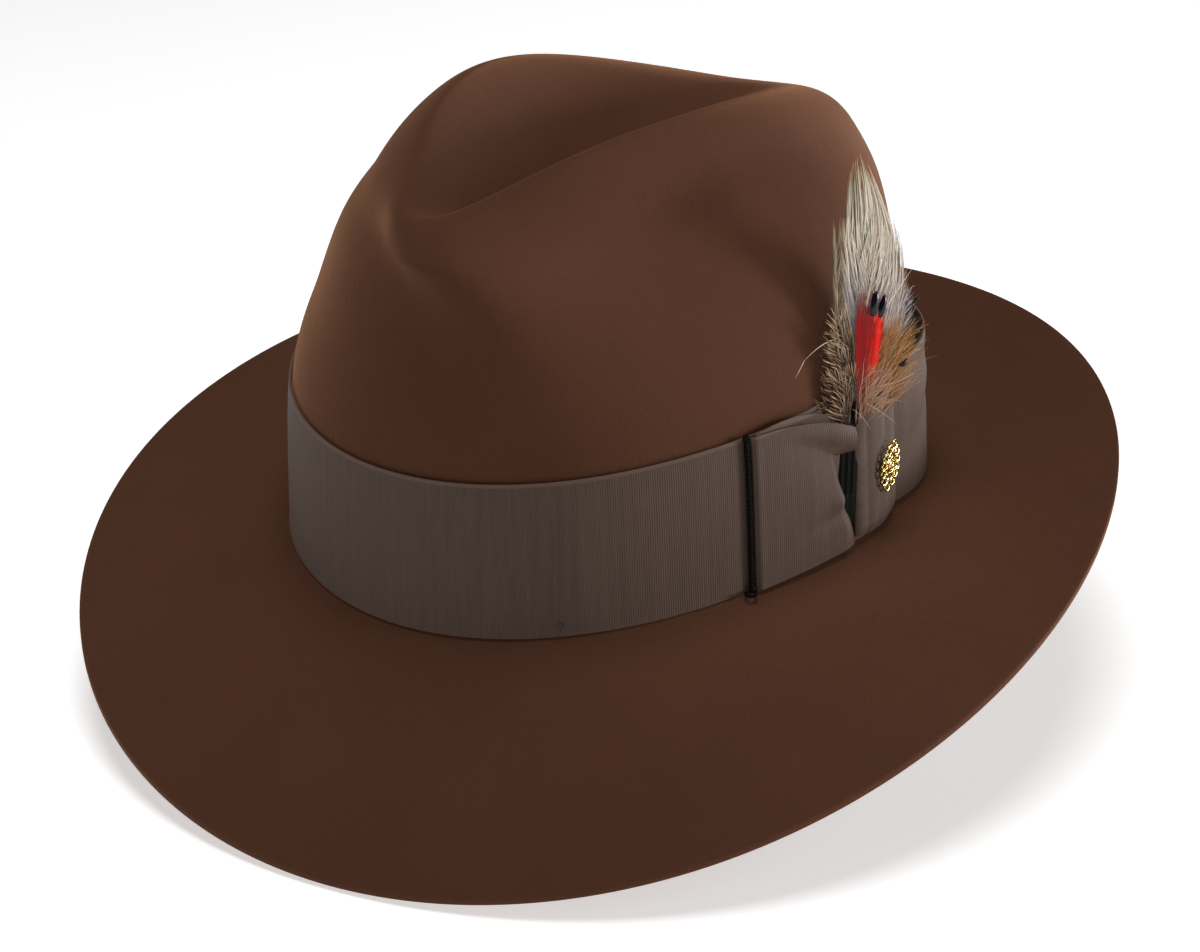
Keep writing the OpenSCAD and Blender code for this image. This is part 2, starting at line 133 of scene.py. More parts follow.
def unit(v, tiny=0.0):
    """Vectors made one long. tiny guards against a division by zero."""
    return v / (np.linalg.norm(v, axis=-1, keepdims=True) + tiny)


def ring_at(t):
    i = np.clip(np.floor(t).astype(int), 0, TOP - 1)
    f = (t - i)[..., None]
    p, q, r, s = (RINGS[np.clip(i + k, 0, TOP)] for k in (-1, 0, 1, 2))
    return q + 0.5 * f * ((r - p) + f * ((2 * p - 5 * q + 4 * r - s) + f * (3 * q - p - 3 * r + s)))


def break_z(a):
    return BREAK_TILT * cos(a) - BREAK_WAVE * cos(2 * a)


def swell(a, t, at_a, wide, at_t, tall):
    return bump((a - at_a + 540) % 360 - 180, 0, wide) * bump(t, at_t, tall)


def shaped(a, t):
    """How far the hand shaping moves the felt out from the crown's oval."""
    return (PROW * swell(a, t, 4.5 + 8 * (4.45 - t), 16.5, 4.45, 1.95)
            + SHOULDER * swell(a, t, 94, 19, 5.35, 0.9) - PRESS * swell(a, t, 62, 33, 3.4, 1.1))


def crown(a, t):
    """A point of the crown's outside. t is 0 at the brim break and TOP at the edge of the crease's floor."""
    a, t = grids(a, t)
    r = np.moveaxis(ring_at(t), -1, 0)
    side = np.abs(sin(a)) ** RIDGE_ROUND
    end_z = np.where(cos(a) > 0, r[4], r[6])
    off_pinch = (np.abs((a + 540) % 360 - 180) - PINCH_AT) / PINCH_SPREAD
    out = shaped(a, t)
    break_left = np.where(t < 1, 1, np.maximum(0, 1 - (t - 1) / 4))
    return xyz((r[0] - r[7] * np.exp(-off_pinch ** 2)) * sin(a) * (1 - r[3] * cos(a)) + out * sin(a),
               r[2] - r[1] * cos(a) - out * cos(a),
               r[5] * side + end_z * (1 - side) + break_z(a) * break_left)


def crown_normal(a, t):
    across = crown(np.asarray(a) + 1.0, t) - crown(np.asarray(a) - 1.0, t)
    up = crown(a, np.minimum(TOP, np.asarray(t) + 0.02)) - crown(a, np.maximum(0, np.asarray(t) - 0.02))
    return unit(np.cross(across, up))


def off_crown(a, t, d):
    """A point d off the crown's outside, along its normal."""
    return crown(a, t) + np.asarray(d, float)[..., None] * crown_normal(a, t)


def beside(a, h, d):
    """A point d off the crown's wall, h up from the brim break."""
    a, h, d = grids(a, h, d)
    return off_crown(a, h / WALL_H, d)


def brim_top(a, u):
    """A point of the brim's top. u is 0 at the foot of the crown and 1 at the edge."""
    a, u = grids(a, u)
    foot = xyz(HEAD_WID * sin(a), -HEAD_LEN * cos(a), break_z(a) - GAP)
    edge = xyz(BRIM_HALF_WID * sin(a) * (1 + 0.05 * cos(a)),
               BRIM_SHIFT - BRIM_HALF_LEN * cos(a),
               EDGE_MEAN - EDGE_TILT * cos(a) - EDGE_WAVE * cos(2 * a) - EDGE_TWIST * sin(2 * a))
    belly = EDGE_BELLY * cos(a) * np.sin(np.pi * u)
    return foot + u[..., None] * (edge - foot) + belly[..., None] * np.array([0, 0, 1.0])


# Meshes ------------------------------

def in_scene(name, data):
    obj = bpy.data.objects.new(name, data)
    bpy.context.scene.collection.objects.link(obj)
    return obj


def mesh_object(name, points, faces, material, slot, sharp=None, **marks):
    """A mesh from points in millimetres. marks are per-point values, one number or one colour a point."""
    mesh = bpy.data.meshes.new(name)
    mesh.from_pydata((np.asarray(points, float) * MM).tolist(), [], [list(map(int, f)) for f in faces])
    mesh.shade_smooth()
    if sharp:
        mesh.set_sharp_from_angle(angle=np.radians(sharp))
    for mark, values in marks.items():
        values = np.asarray(values, np.float32)
        if values.ndim == 2:
            mesh.attributes.new(mark, "FLOAT_COLOR", "POINT").data.foreach_set("color", values.ravel())
        else:
            mesh.attributes.new(mark, "FLOAT", "POINT").data.foreach_set("value", values)
    mesh.materials.append(material)
    obj = in_scene(name, mesh)
    return obj


def stand_in(obj, node, body="hat"):
    """The piece is the look of a CAD node and moves with its body."""
    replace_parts(obj, node)
    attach(obj, body)


def quads(rows, cols, start=0, closed=False, flip=False):
    """Faces of a grid of points. They face outwards where rows climb and columns go round the head."""
    row = start + np.arange(rows - 1)[:, None] * cols
    col = np.arange(cols if closed else cols - 1)[None, :]
    low, high = row + col, row + (col + 1) % cols
    faces = np.stack([low, high, high + cols, low + cols], -1).reshape(-1, 4)
    return faces[:, ::-1] if flip else faces


def slab(name, outer, inner, material, slot, closed=False, sharp=40, **marks):
    """A closed solid between two grids of points. marks are given for one grid and used for both."""
    rows, cols = outer.shape[:2]
    size = rows * cols
    last = (rows - 1) * cols
    c = np.arange(cols if closed else cols - 1)
    n = (c + 1) % cols
    rims = [np.stack([n, c, size + c, size + n], -1),
            np.stack([last + c, last + n, size + last + n, size + last + c], -1)]
    if not closed:
        r = np.arange(rows - 1) * cols
        e = r + cols - 1
        rims += [np.stack([r, r + cols, size + r + cols, size + r], -1),
                 np.stack([e + cols, e, size + e, size + e + cols], -1)]
    faces = np.concatenate([quads(rows, cols, 0, closed), quads(rows, cols, size, closed, True), *rims])
    points = np.concatenate([outer.reshape(-1, 3), inner.reshape(-1, 3)])
    marks = {k: np.concatenate([np.broadcast_to(v, (rows, cols)).ravel()] * 2) for k, v in marks.items()}
    return mesh_object(name, points, faces, material, slot, sharp, **marks)


class Parts:
    """Gathers the points and faces of several shapes, to make them one piece."""

    def __init__(self):
        self.points, self.faces, self.size = [], [], 0

    def add(self, points, faces):
        self.points.append(points)
        self.faces += [[self.size + i for i in face] for face in faces]
        self.size += len(points)

    def all_points(self):
        return np.concatenate(self.points)


def tube_parts(path, radius, sides=8, closed=False):
    """Points and faces of a tube along a path. radius is one number or one for each point of the path."""
    path = np.asarray(path, float)
    count = len(path)
    radius = np.broadcast_to(radius, (count,))
    ahead = np.roll(path, -1, 0) - np.roll(path, 1, 0)
    if not closed:
        ahead[0], ahead[-1] = path[1] - path[0], path[-1] - path[-2]
    ahead = unit(ahead)
    guide = np.array([0, 0, 1.0]) if np.abs(ahead[:, 2]).mean() < 0.7 else np.array([0, 1.0, 0])
    side = unit(np.cross(ahead, guide))
    up = np.cross(side, ahead)
    k = 2 * np.pi * np.arange(sides) / sides
    points = path[:, None] + radius[:, None, None] * (
        np.cos(k)[None, :, None] * side[:, None] + np.sin(k)[None, :, None] * up[:, None])
    faces = quads(count, sides, 0, True).tolist()
    last = (count - 1) * sides
    if closed:
        faces += [[last + j, last + (j + 1) % sides, (j + 1) % sides, j] for j in range(sides)]
    else:
        faces += [list(range(sides))[::-1], list(range(last, last + sides))]
    return points.reshape(-1, 3), faces


def tubes(name, paths, radius, material, slot, sides=8):
    """Many tubes as one piece."""
    parts = Parts()
    for path in paths:
        parts.add(*tube_parts(path, radius, sides))
    return mesh_object(name, parts.all_points(), parts.faces, material, slot, 50)


def turned_by(angle, axis):
    return Matrix.Rotation(np.radians(angle), 4, axis)


def moved(points, place):
    """Points given in a placed frame, in the CAD frame."""
    m = np.array(place)
    return points @ m[:3, :3].T + m[:3, 3]


# Materials ------------------------------

class Look:
    """A node material with short ways to add nodes and join them."""

    def __init__(self, name, **sockets):
        self.material = bpy.data.materials.new(name)
        self.material.use_nodes = True
        self.tree = self.material.node_tree
        self.shader = self.tree.nodes["Principled BSDF"]
        for socket, value in sockets.items():
            self.shader.inputs[socket.replace("_", " ")].default_value = value
        self.coords = self.tree.nodes.new("ShaderNodeTexCoord").outputs["Object"]

    def node(self, kind, inputs, **settings):
        """A shader node. Each input is a number, a colour or the socket that feeds it."""
        made = self.tree.nodes.new("ShaderNode" + kind)
        for key, value in settings.items():
            setattr(made, key, value)
        for key, value in inputs.items():
            if isinstance(value, bpy.types.NodeSocket):
                self.tree.links.new(value, made.inputs[key])
            else:
                made.inputs[key].default_value = value
        return made

    def noise(self, scale, detail=3.0, roughness=0.6, stretch=None, distortion=0.0, where=None):
        where = where or self.coords
        if stretch:
            where = self.node("Mapping", {"Vector": where, "Scale": stretch}).outputs[0]
        inputs = {"Vector": where, "Scale": scale, "Detail": detail, "Roughness": roughness}
        return self.node("TexNoise", inputs | {"Distortion": distortion}).outputs["Fac"]

    def ramp(self, fac, stops):
        made = self.node("ValToRGB", {"Fac": fac})
        ramp = made.color_ramp
        while len(ramp.elements) < len(stops):
            ramp.elements.new(0.5)
        for element, (place, colour) in zip(ramp.elements, stops):
            element.position = place
            element.color = (*colour, 1)
        return made.outputs["Color"]

    def grey(self, fac, low, high):
        return self.node("MapRange", {"Value": fac, "To Min": low, "To Max": high}).outputs[0]

    def math(self, operation, a, b=0.0):
        return self.node("Math", {0: a, 1: b}, operation=operation).outputs[0]

    def mix(self, fac, a, b, blend="MIX"):
        a, b = ((*value, 1) if isinstance(value, tuple) else value for value in (a, b))
        return self.node("Mix", {0: fac, 6: a, 7: b}, data_type="RGBA", blend_type=blend).outputs[2]

    def mark(self, name, output="Fac"):
        return self.node("Attribute", {}, attribute_name=name).outputs[output]

    def colour(self, socket):
        self.tree.links.new(socket, self.shader.inputs["Base Color"])

    def rough(self, socket):
        self.tree.links.new(socket, self.shader.inputs["Roughness"])

    def bumps(self, *layers):
        """Each layer is (height socket, distance in millimetres)."""
        last = None
        for height, distance in layers:
            inputs = {"Height": height, "Strength": 1.0, "Distance": distance * MM}
            if last:
                inputs["Normal"] = last
            last = self.node("Bump", inputs).outputs[0]
        self.tree.links.new(last, self.shader.inputs["Normal"])


def plain_look(name, dark, light, scale, bump_mm, **sockets):
    """Mottled between two colours, with a grain of half that size in the bump."""
    look = Look(name, **sockets)
    grain = look.noise(scale, 4.0)
    look.colour(look.ramp(grain, [(0.3, dark), (0.7, light)]))
    look.bumps((look.noise(scale * 2, 3.0), bump_mm))
    return look.material


def felt_look():
    look = Look("felt_look", Roughness=0.88, Specular_IOR_Level=0.12, Sheen_Weight=0.45, Sheen_Roughness=0.4,
                Sheen_Tint=(0.66, 0.31, 0.15, 1))
    broad = look.noise(28, 3.0, 0.55)
    patch = look.noise(190, 3.0, 0.6)
    nap = look.noise(1500, 3.0, 0.65)
    fibre = look.noise(900, 2.0, 0.6, stretch=(1, 1, 0.35), distortion=0.6)
    base = look.ramp(broad, [(0.3, (0.066, 0.0245, 0.0130)), (0.7, (0.080, 0.0300, 0.0162))])
    base = look.mix(look.grey(patch, 0.0, 0.35), base, (0.053, 0.0195, 0.0102))
    base = look.mix(look.grey(nap, 0.0, 0.7), base, (0.116, 0.0470, 0.0255))
    look.colour(base)
    look.rough(look.grey(nap, 0.8, 0.97))
    look.bumps((broad, 0.35), (patch, 0.10), (fibre, 0.09), (nap, 0.08))
    return look.material


def ribbon_look():
    """Grosgrain: ribs across the ribbon, streaks along each rib, and a flat selvedge on both edges."""
    look = Look("ribbon_look", Roughness=0.65, Specular_IOR_Level=0.2, Sheen_Weight=0.1, Sheen_Roughness=0.4,
                Sheen_Tint=(0.7, 0.52, 0.42, 1))
    along, across = look.mark("along"), look.mark("across")
    rib_pitch = 0.68
    rib = look.math("SINE", look.math("MULTIPLY", along, 2 * np.pi / rib_pitch))
    streak_at = look.node("CombineXYZ", {"X": along, "Y": look.math("MULTIPLY", across, 0.05)}).outputs[0]
    streak = look.noise(0.45, 5.0, 0.75, where=streak_at)
    weft_at = look.node("CombineXYZ", {"X": look.math("MULTIPLY", along, 0.7), "Y": across}).outputs[0]
    weft = look.noise(1.6, 3.0, 0.7, where=weft_at)
    rim = look.math("ABSOLUTE", look.math("SUBTRACT", look.math("DIVIDE", across, RIBBON_W), 0.5))
    selvedge = look.node("MapRange", {"Value": rim, "From Min": 0.472, "From Max": 0.482}).outputs[0]
    base = look.ramp(streak, [(0.30, (0.080, 0.049, 0.035)), (0.5, (0.104, 0.065, 0.047)),
                              (0.72, (0.130, 0.083, 0.061))])
    base = look.mix(look.grey(weft, 0.0, 0.4), base, (0.063, 0.039, 0.028))
    # the hollows between the ribs are painted darker: painted shade in the grooves of the weave
    base = look.mix(look.grey(rib, 0.2, 0.0), base, (0.040, 0.025, 0.018))
    base = look.mix(look.math("MULTIPLY", selvedge, 0.6), base, (0.15, 0.10, 0.074))
    look.colour(base)
    look.rough(look.grey(streak, 0.5, 0.75))
    flat = look.math("SUBTRACT", 1.0, selvedge)
    look.bumps((look.math("MULTIPLY", rib, flat), 0.045), (weft, 0.02), (selvedge, 0.05))
    return look.material


def barb_look(name, gloss, sheen, shine=0.35):
    """Feather barbs: colour from the piece's own tint, broken up along each barb."""
    look = Look(name, Roughness=gloss, Specular_IOR_Level=shine, Sheen_Weight=sheen,
                Sheen_Tint=(0.9, 0.62, 0.42, 1))
    fleck = look.noise(1300, 3.0, 0.7, stretch=(1, 1, 0.25))
    tint = look.mark("tint", "Color")
    look.colour(look.mix(look.grey(fleck, 0.0, 0.45), tint, (0.35, 0.3, 0.24), "MULTIPLY"))
    look.bumps((fleck, 0.03))
    return look.material


def leather_look():
    look = Look("leather_look", Roughness=0.42, Specular_IOR_Level=0.45, Coat_Weight=0.12, Coat_Roughness=0.3)
    pores = look.node("TexVoronoi", {"Vector": look.coords, "Scale": 1100.0}, feature="DISTANCE_TO_EDGE")
    grain = pores.outputs["Distance"]
    tone = look.noise(60, 4.0)
    wear = look.noise(240, 5.0, 0.7)
    base = look.ramp(tone, [(0.3, (0.15, 0.072, 0.032)), (0.7, (0.215, 0.108, 0.05))])
    look.colour(look.mix(look.grey(wear, 0.0, 0.35), base, (0.10, 0.046, 0.02)))
    look.rough(look.grey(wear, 0.32, 0.6))
    look.bumps((grain, 0.12), (wear, 0.06))
    return look.material


def satin_look():
    look = Look("satin_look", Roughness=0.33, Specular_IOR_Level=0.5, Sheen_Weight=0.4, Sheen_Roughness=0.3,
                Anisotropic=0.6)
    weave = look.node("TexWave", {"Vector": look.coords, "Scale": 900.0, "Distortion": 0.8, "Detail": 1.0},
                      wave_type="BANDS", bands_direction="Z").outputs["Fac"]
    tone = look.noise(45, 3.0)
    base = look.ramp(tone, [(0.3, (0.29, 0.17, 0.088)), (0.7, (0.36, 0.22, 0.12))])
    look.colour(look.mix(look.grey(weave, 0.0, 0.15), base, (0.2, 0.115, 0.06)))
    look.bumps((weave, 0.01), (tone, 0.3))
    return look.material


def gold_look():
    look = Look("gold_look", Metallic=1.0, Roughness=0.2)
    tarnish = look.noise(900, 4.0, 0.7)
    look.colour(look.ramp(tarnish, [(0.35, (0.75, 0.50, 0.12)), (0.6, (1.0, 0.80, 0.32))]))
    look.rough(look.grey(tarnish, 0.12, 0.3))
    look.bumps((look.noise(700, 3.0), 0.05))
    return look.material


def film_look():
    look = Look("film_look", Roughness=0.12, Specular_IOR_Level=0.5, Alpha=0.22,
                Base_Color=(0.9, 0.92, 0.93, 1))
    look.bumps((look.noise(60, 2.0), 0.4))
    return look.material


felt_mat = felt_look()
ribbon_mat = ribbon_look()
leather_mat = leather_look()
satin_mat = satin_look()
gold_mat = gold_look()
film_mat = film_look()
barb_mat = barb_look("hackle_look", 0.45, 0.3)
down_mat = barb_look("down_look", 0.7, 0.25, 0.15)
nail_mat = barb_look("nail_look", 0.16, 0.0)
quill_mat = barb_look("quill_look", 0.7, 0.0)
red_mat = barb_look("red_look", 0.6, 0.0, 0.12)
thread_mat = plain_look("thread_look", (0.012, 0.01, 0.009), (0.035, 0.028, 0.024), 1800, 0.05, Roughness=0.7)
cord_mat = plain_look("cord_look", (0.002, 0.002, 0.002), (0.006, 0.0055, 0.0055), 1500, 0.06, Roughness=0.85,
                      Specular_IOR_Level=0.1)
card_mat = plain_look("card_look", (0.005, 0.0045, 0.004), (0.011, 0.0095, 0.0085), 700, 0.05, Roughness=0.9,
                      Specular_IOR_Level=0.1)
paper_mat = plain_look("paper_look", (0.62, 0.59, 0.5), (0.74, 0.71, 0.62), 600, 0.04, Roughness=0.8)
reed_mat = plain_look("reed_look", (0.5, 0.45, 0.32), (0.64, 0.58, 0.44), 400, 0.04, Roughness=0.5)
stitch_mat = plain_look("stitch_look", (0.16, 0.1, 0.06), (0.3, 0.2, 0.12), 1800, 0.05, Roughness=0.6)

# Felt body ------------------------------

FELT_COLS = 288
CREASE_SINK = 2.6    # how much further the crease's floor sinks between its edges
CAP_CUTS = 7         # strips across the crease's floor
SOFT_ROUNDS = 180    # passes that round the ridges
FILLET_T, FILLET_U = 0.05, 0.04   # where the round at the brim break starts and ends


def softened(rows, t):
    """Rounds the ridges of the crown, most of all where they meet over the front."""
    a = (np.arange(FELT_COLS) * 360 / FELT_COLS + 180) % 360 - 180
    t = t[:, None]
    inner = smooth(t, 3.9, 5) * (1 - smooth(t, 8.2, TOP))
    strength = inner * (0.12 + 0.38 * bump(a, 6, 46))
    for _ in range(SOFT_ROUNDS):
        around = (np.roll(rows, 1, 1) + np.roll(rows, -1, 1)) / 4
        around[1:-1] += (rows[2:] + rows[:-2]) / 4
        around[[0, -1]] *= 2
        rows = rows + strength[..., None] * (around - rows)
    return rows


def felt_rows():
    """Rings of the whole felt, from the crease out over the crown and brim, and back up inside."""
    a = np.arange(FELT_COLS) * 360 / FELT_COLS
    t = np.concatenate([np.linspace(TOP, 1, 96), np.linspace(1, FILLET_T, 12)[1:]])
    outside = softened(crown(a, t[:, None]), t)
    across = np.roll(outside, -1, 1) - np.roll(outside, 1, 1)
    n = np.cross(across, -np.gradient(outside, axis=0))
    inside = outside - CROWN_FELT * n / np.linalg.norm(n, axis=2, keepdims=True)
    start, corner, end = outside[-1], crown(a, 0), brim_top(a, FILLET_U)
    rows = list(outside)
    rows += [(1 - f) ** 2 * start + 2 * f * (1 - f) * corner + f * f * end
             for f in np.linspace(0, 1, 7)[1:-1]]
    top = [brim_top(a, u) for u in np.linspace(FILLET_U, 1, 40)]
    rows += top[:-1]
    edge = top[-1]
    out = unit(edge - top[-2])
    down = np.array([0, 0, -1.0])
    bevel = 0.35
    for back, drop in ((bevel, 0), (0.3 * bevel, 0.3 * bevel), (0, bevel), (0, BRIM_FELT / 2),
                       (0, BRIM_FELT - bevel), (0.3 * bevel, BRIM_FELT - 0.3 * bevel), (bevel, BRIM_FELT)):
        rows.append(edge - back * out + drop * down)
    rows += [row + BRIM_FELT * down for row in top[-2::-1]]
    rows += [off_crown(a, 0 * a, -CROWN_FELT) + 1.2 * down, *inside[::-1]]
    return np.array(rows)


def cap(points, ring, flip):
    """Closes a ring from side to side over the crease's floor. Returns the new points and faces."""
    half = FELT_COLS // 2
    made, faces, lines = [], [], {}
    for k in range(1, half):
        right, left = points[ring[k]], points[ring[FELT_COLS - k]]
        depth = CREASE_SINK * np.sin(np.pi * k / half) ** 0.5
        inner = []
        for j in range(1, CAP_CUTS):
            f = j / CAP_CUTS
            inner.append(len(points) + len(made))
            made.append(right + f * (left - right) - np.array([0, 0, depth * 4 * f * (1 - f)]))
        lines[k] = [ring[k], *inner, ring[FELT_COLS - k]]
    for k in range(1, half - 1):
        for j in range(CAP_CUTS):
            faces.append([lines[k][j], lines[k + 1][j], lines[k + 1][j + 1], lines[k][j + 1]])
    for end, k in ((ring[0], 1), (ring[half], half - 1)):
        for j in range(CAP_CUTS):
            tri = [end, lines[k][j], lines[k][j + 1]]
            faces.append(tri if k == 1 else tri[::-1])
    if flip:
        faces = [f[::-1] for f in faces]
    return made, faces


def make_felt():
    rows = felt_rows()
    points = rows.reshape(-1, 3)
    faces = [list(f) for f in quads(len(rows), FELT_COLS, 0, True, True)]
    last = (len(rows) - 1) * FELT_COLS
    for ring, flip in ((np.arange(FELT_COLS), False), (last + np.arange(FELT_COLS), True)):
        made, more = cap(points, ring, flip)
        points = np.concatenate([points, made])
        faces += more
    return mesh_object("felt_body", points, faces, felt_mat, "felt")


felt = make_felt()
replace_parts(felt, "side_crown", "crown_tip", "brim", "snap_brim")
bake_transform(felt)

# Ribbon ------------------------------


def band_length(a):
    """Distance round the ribbon from the front to each angle, in millimetres."""
    fine = np.arange(0, 360.5, 0.5)
    p = beside(fine, 22, BAND_FACE)
    steps = np.linalg.norm(np.diff(p, axis=0), axis=1)
    return np.interp(a, fine, np.concatenate([[0], np.cumsum(steps)]))


BAND_COLS = 720
BAND_ENDS = 100      # where the ribbon's two ends meet, under the bow
a = BAND_ENDS + np.arange(BAND_COLS) * 360 / BAND_COLS
h = np.array([0.9, 1.5, 2.2, 6, 14, 23, 32, 40, 43.8, 44.8, RIBBON_W])[:, None]
# the edges of a stretched ribbon lift a hair off the felt
lift = 0.12 * (bump(h, 0.9, 1.2) + bump(h, RIBBON_W, 1.2)) + 0.05 * sin(a * 7)
band = slab("ribbon_band", beside(a, h, BAND_FACE + lift), beside(a, h, GAP + lift), ribbon_mat, "ribbon",
            closed=True, along=band_length(a % 360) + band_length(360) * (a >= 360), across=h)
stand_in(band, "hatband")
band_length(360) / 1000

# Bow ------------------------------


def bow_leaf(name, place, low, high, cuts=(40, 24), thick=0.55, turned=False, tuck=None):
    """A leaf of the bow. place gives angle and offset for f (0 to 1 along) and k (0 to 1 up), low and high
    give heights for f, and tuck moves the back of the leaf round the head, in degrees for f."""
    k, f = np.meshgrid(np.linspace(0, 1, cuts[1] + 1), np.linspace(0, 1, cuts[0] + 1), indexing="ij")
    a, d = place(f, k)
    h = low(f) + (high(f) - low(f)) * k
    along, across = band_length(a), h
    if turned:
        along, across = across, along - along.mean() + RIBBON_W / 2
    back = a + tuck(f) if tuck else a
    return slab(name, beside(a, h, d + thick), beside(back, h, d), ribbon_mat, "ribbon", sharp=50,
                along=along, across=across)


def front_top(f):
    return 45.4 - 8.8 * f ** 2.2


def front_place(f, k):
    """Swells from the fold at the cord to the knot, with a deep pleat under its top strip.

    The end of the strip reaches the knot. Below the strip the end rolls in and leaves a dark gap."""
    below = (1 - k) * (front_top(f) - 1)
    strip = 3.2 + 3.4 * f
    swell = 0.9 + 3.3 * f ** 1.3 + 0.7 * np.sin(np.pi * k) * f
    roll = 0.9 * bump(below, strip * 0.45, 3) * smooth(f, 0.25, 0.9)
    pleat = 2.6 * smooth(f, 0.22, 0.95) * smooth(below, strip - 0.9, strip + 0.7)
    pleat *= np.exp(-np.maximum(0, below - strip) / 7)
    crease = 0.8 * smooth(f, 0.3, 0.9) * bump(k + 0.15 * (1 - f), 0.40, 0.055)
    bulge = 0.7 * smooth(f, 0.5, 1) * bump(k + 0.1 * (1 - f), 0.5, 0.08)
    fold = 1.0 * (1 - smooth(f, 0, 0.035))
    under_strip = smooth(below, strip - 0.6, strip + 0.5)
    turn_in = (2.4 - 1.6 * smooth(below, 12, 34)) * smooth(f, 0.86, 1) ** 1.5 * under_strip
    short = 0.8 + (2.6 * (1 - smooth(below, 10, 36)) + 0.2) * under_strip
    a = BOW_FROM + (KNOT_FROM - short - BOW_FROM) * f
    return a, BASE_FACE + swell + roll - pleat - crease + bulge - fold - turn_in


def base_place(f, k):
    return BOW_FROM + 1 + (BOW_TO - BOW_FROM - 2) * f, BAND_FACE + 0.12


def under_place(f, k):
    a = BOW_FROM + 0.9 + (KNOT_FROM - 2.2 - BOW_FROM) * f
    return a, BASE_FACE + 0.15 + 0.5 * f + 0.6 * bump(k, 1, 0.2) * f


def rear_place(f, k):
    swell = (PROUD_REAR - 3.3) * np.sin(np.pi * (0.02 + 0.95 * f)) ** 0.8
    wrinkle = 0.5 * bump(k - 0.5 * f, 0.3, 0.08) + 0.35 * bump(k + 0.3 * f, 0.95, 0.07)
    wrinkle -= 0.4 * bump(k - 0.2 * f, 0.55, 0.1)
    a = KNOT_TO + 0.25 + (BOW_TO - KNOT_TO - 0.25) * f
    return a, BASE_FACE + 0.6 + swell - wrinkle * np.sin(np.pi * f)


def knot_place(f, k):
    """Round over the front, with a wall down to the base on the side of the gap."""
    g = np.clip((f - 0.14) / 0.86, 0, 1)
    wall = 0.4 + 1.8 * smooth(f, 0, 0.13)
    round_it = 2.5 * np.sin(np.pi * np.clip(0.04 + 0.96 * g, 0, 1)) ** 0.5 * smooth(f, 0.1, 0.2)
    folds = 0.5 * bump(g, 0.2, 0.05) + 0.35 * bump(g, 0.72 - 0.15 * k, 0.07)
    folds += 0.25 * bump(g - 0.3 * k, 0.35, 0.06)
    ends = 1.2 * (bump(k, 0, 0.07) + bump(k, 1, 0.07)) * smooth(f, 0.1, 0.2)
    a = KNOT_FROM + (KNOT_TO - KNOT_FROM) * g + 0.12 * smooth(f, 0.14, 0)
    return a, BASE_FACE + wall + round_it - folds - ends


def level(height):
    return lambda f: height


base = bow_leaf("bow_base_leaf", base_place, level(1.2), level(44.2), (60, 8), RIBBON_T)
under = bow_leaf("bow_under_leaf", under_place, level(24), lambda f: 45.5 + 9.3 * f - 16.6 * f * f, (36, 12))
front = bow_leaf("bow_front_panel", front_place, lambda f: 0.8 + 1.5 * f, front_top, (72, 64))
rear = bow_leaf("bow_rear_panel", rear_place, level(3.2), lambda f: 43 + 8 * f, (60, 28))
knot = bow_leaf("bow_knot_wrap", knot_place, level(2.2), lambda f: 35.5 + 8 * smooth(f, 0.1, 0.5), (48, 40),
                turned=True, tuck=lambda f: 0.4 * (1 - smooth(f, 0.05, 0.2)))
# each leaf is cut from the same ribbon: its width, and the stretch of the head it covers, in degrees
for leaf, node, wide, first, last in (
        (base, "bow_base", RIBBON_W, BOW_FROM, BOW_TO),
        (under, "bow_front_under_leaf", 27, BOW_FROM, KNOT_FROM),
        (front, "bow_front_loop", RIBBON_W, BOW_FROM, KNOT_FROM),
        (rear, "bow_rear_loop", RIBBON_W, KNOT_TO, BOW_TO),
        (knot, "bow_knot", 40, KNOT_FROM, KNOT_TO)):
    stand_in(leaf, node)
    cut = (wide / 1000, (band_length(last) - band_length(first)) / 1000)

# Wind cord ------------------------------

CORD_A, CORD_R = BOW_FROM - 0.8, 0.75
CORD_OFF = BAND_FACE + GAP + CORD_R


def twisted(path, radius, pitch=2.6):
    """Two strands that wind round a path."""
    run = np.concatenate([[0], np.cumsum(np.linalg.norm(np.diff(path, axis=0), axis=1))])
    fine = np.linspace(0, run[-1], max(40, int(run[-1] / 0.25)))
    centre = np.stack([np.interp(fine, run, path[:, i]) for i in range(3)], -1)
    ahead = unit(np.gradient(centre, axis=0))
    side = unit(np.cross(ahead, [0.3, 0.2, 0.9]))
    up = np.cross(side, ahead)
    turns = 2 * np.pi * fine / pitch
    return [centre + radius * (np.cos(turns + s)[:, None] * side + np.sin(turns + s)[:, None] * up)
            for s in (0, np.pi)]


cord_path = beside(CORD_A, np.linspace(2.2, 45.2, 30), CORD_OFF)
cord = tubes("wind_cord_twist", twisted(cord_path, 0.36), 0.42, cord_mat, "cord")
stand_in(cord, "wind_cord")
RING_R, RING_WIRE_R = 1.5, 0.6
loop_centre = beside(CORD_A - 0.7, 1.3, BAND_FACE + 2 * GAP + RING_R + RING_WIRE_R)
k = np.linspace(0, 2 * np.pi, 41)
loop_path = loop_centre + RING_R * xyz(np.cos(k), np.sin(k), 0.12 * np.sin(k + 1))
loop = tubes("wind_cord_ring", twisted(loop_path, 0.27, pitch=2.0), 0.33, cord_mat, "cord")
stand_in(loop, "wind_cord_loop")

# Inside ------------------------------

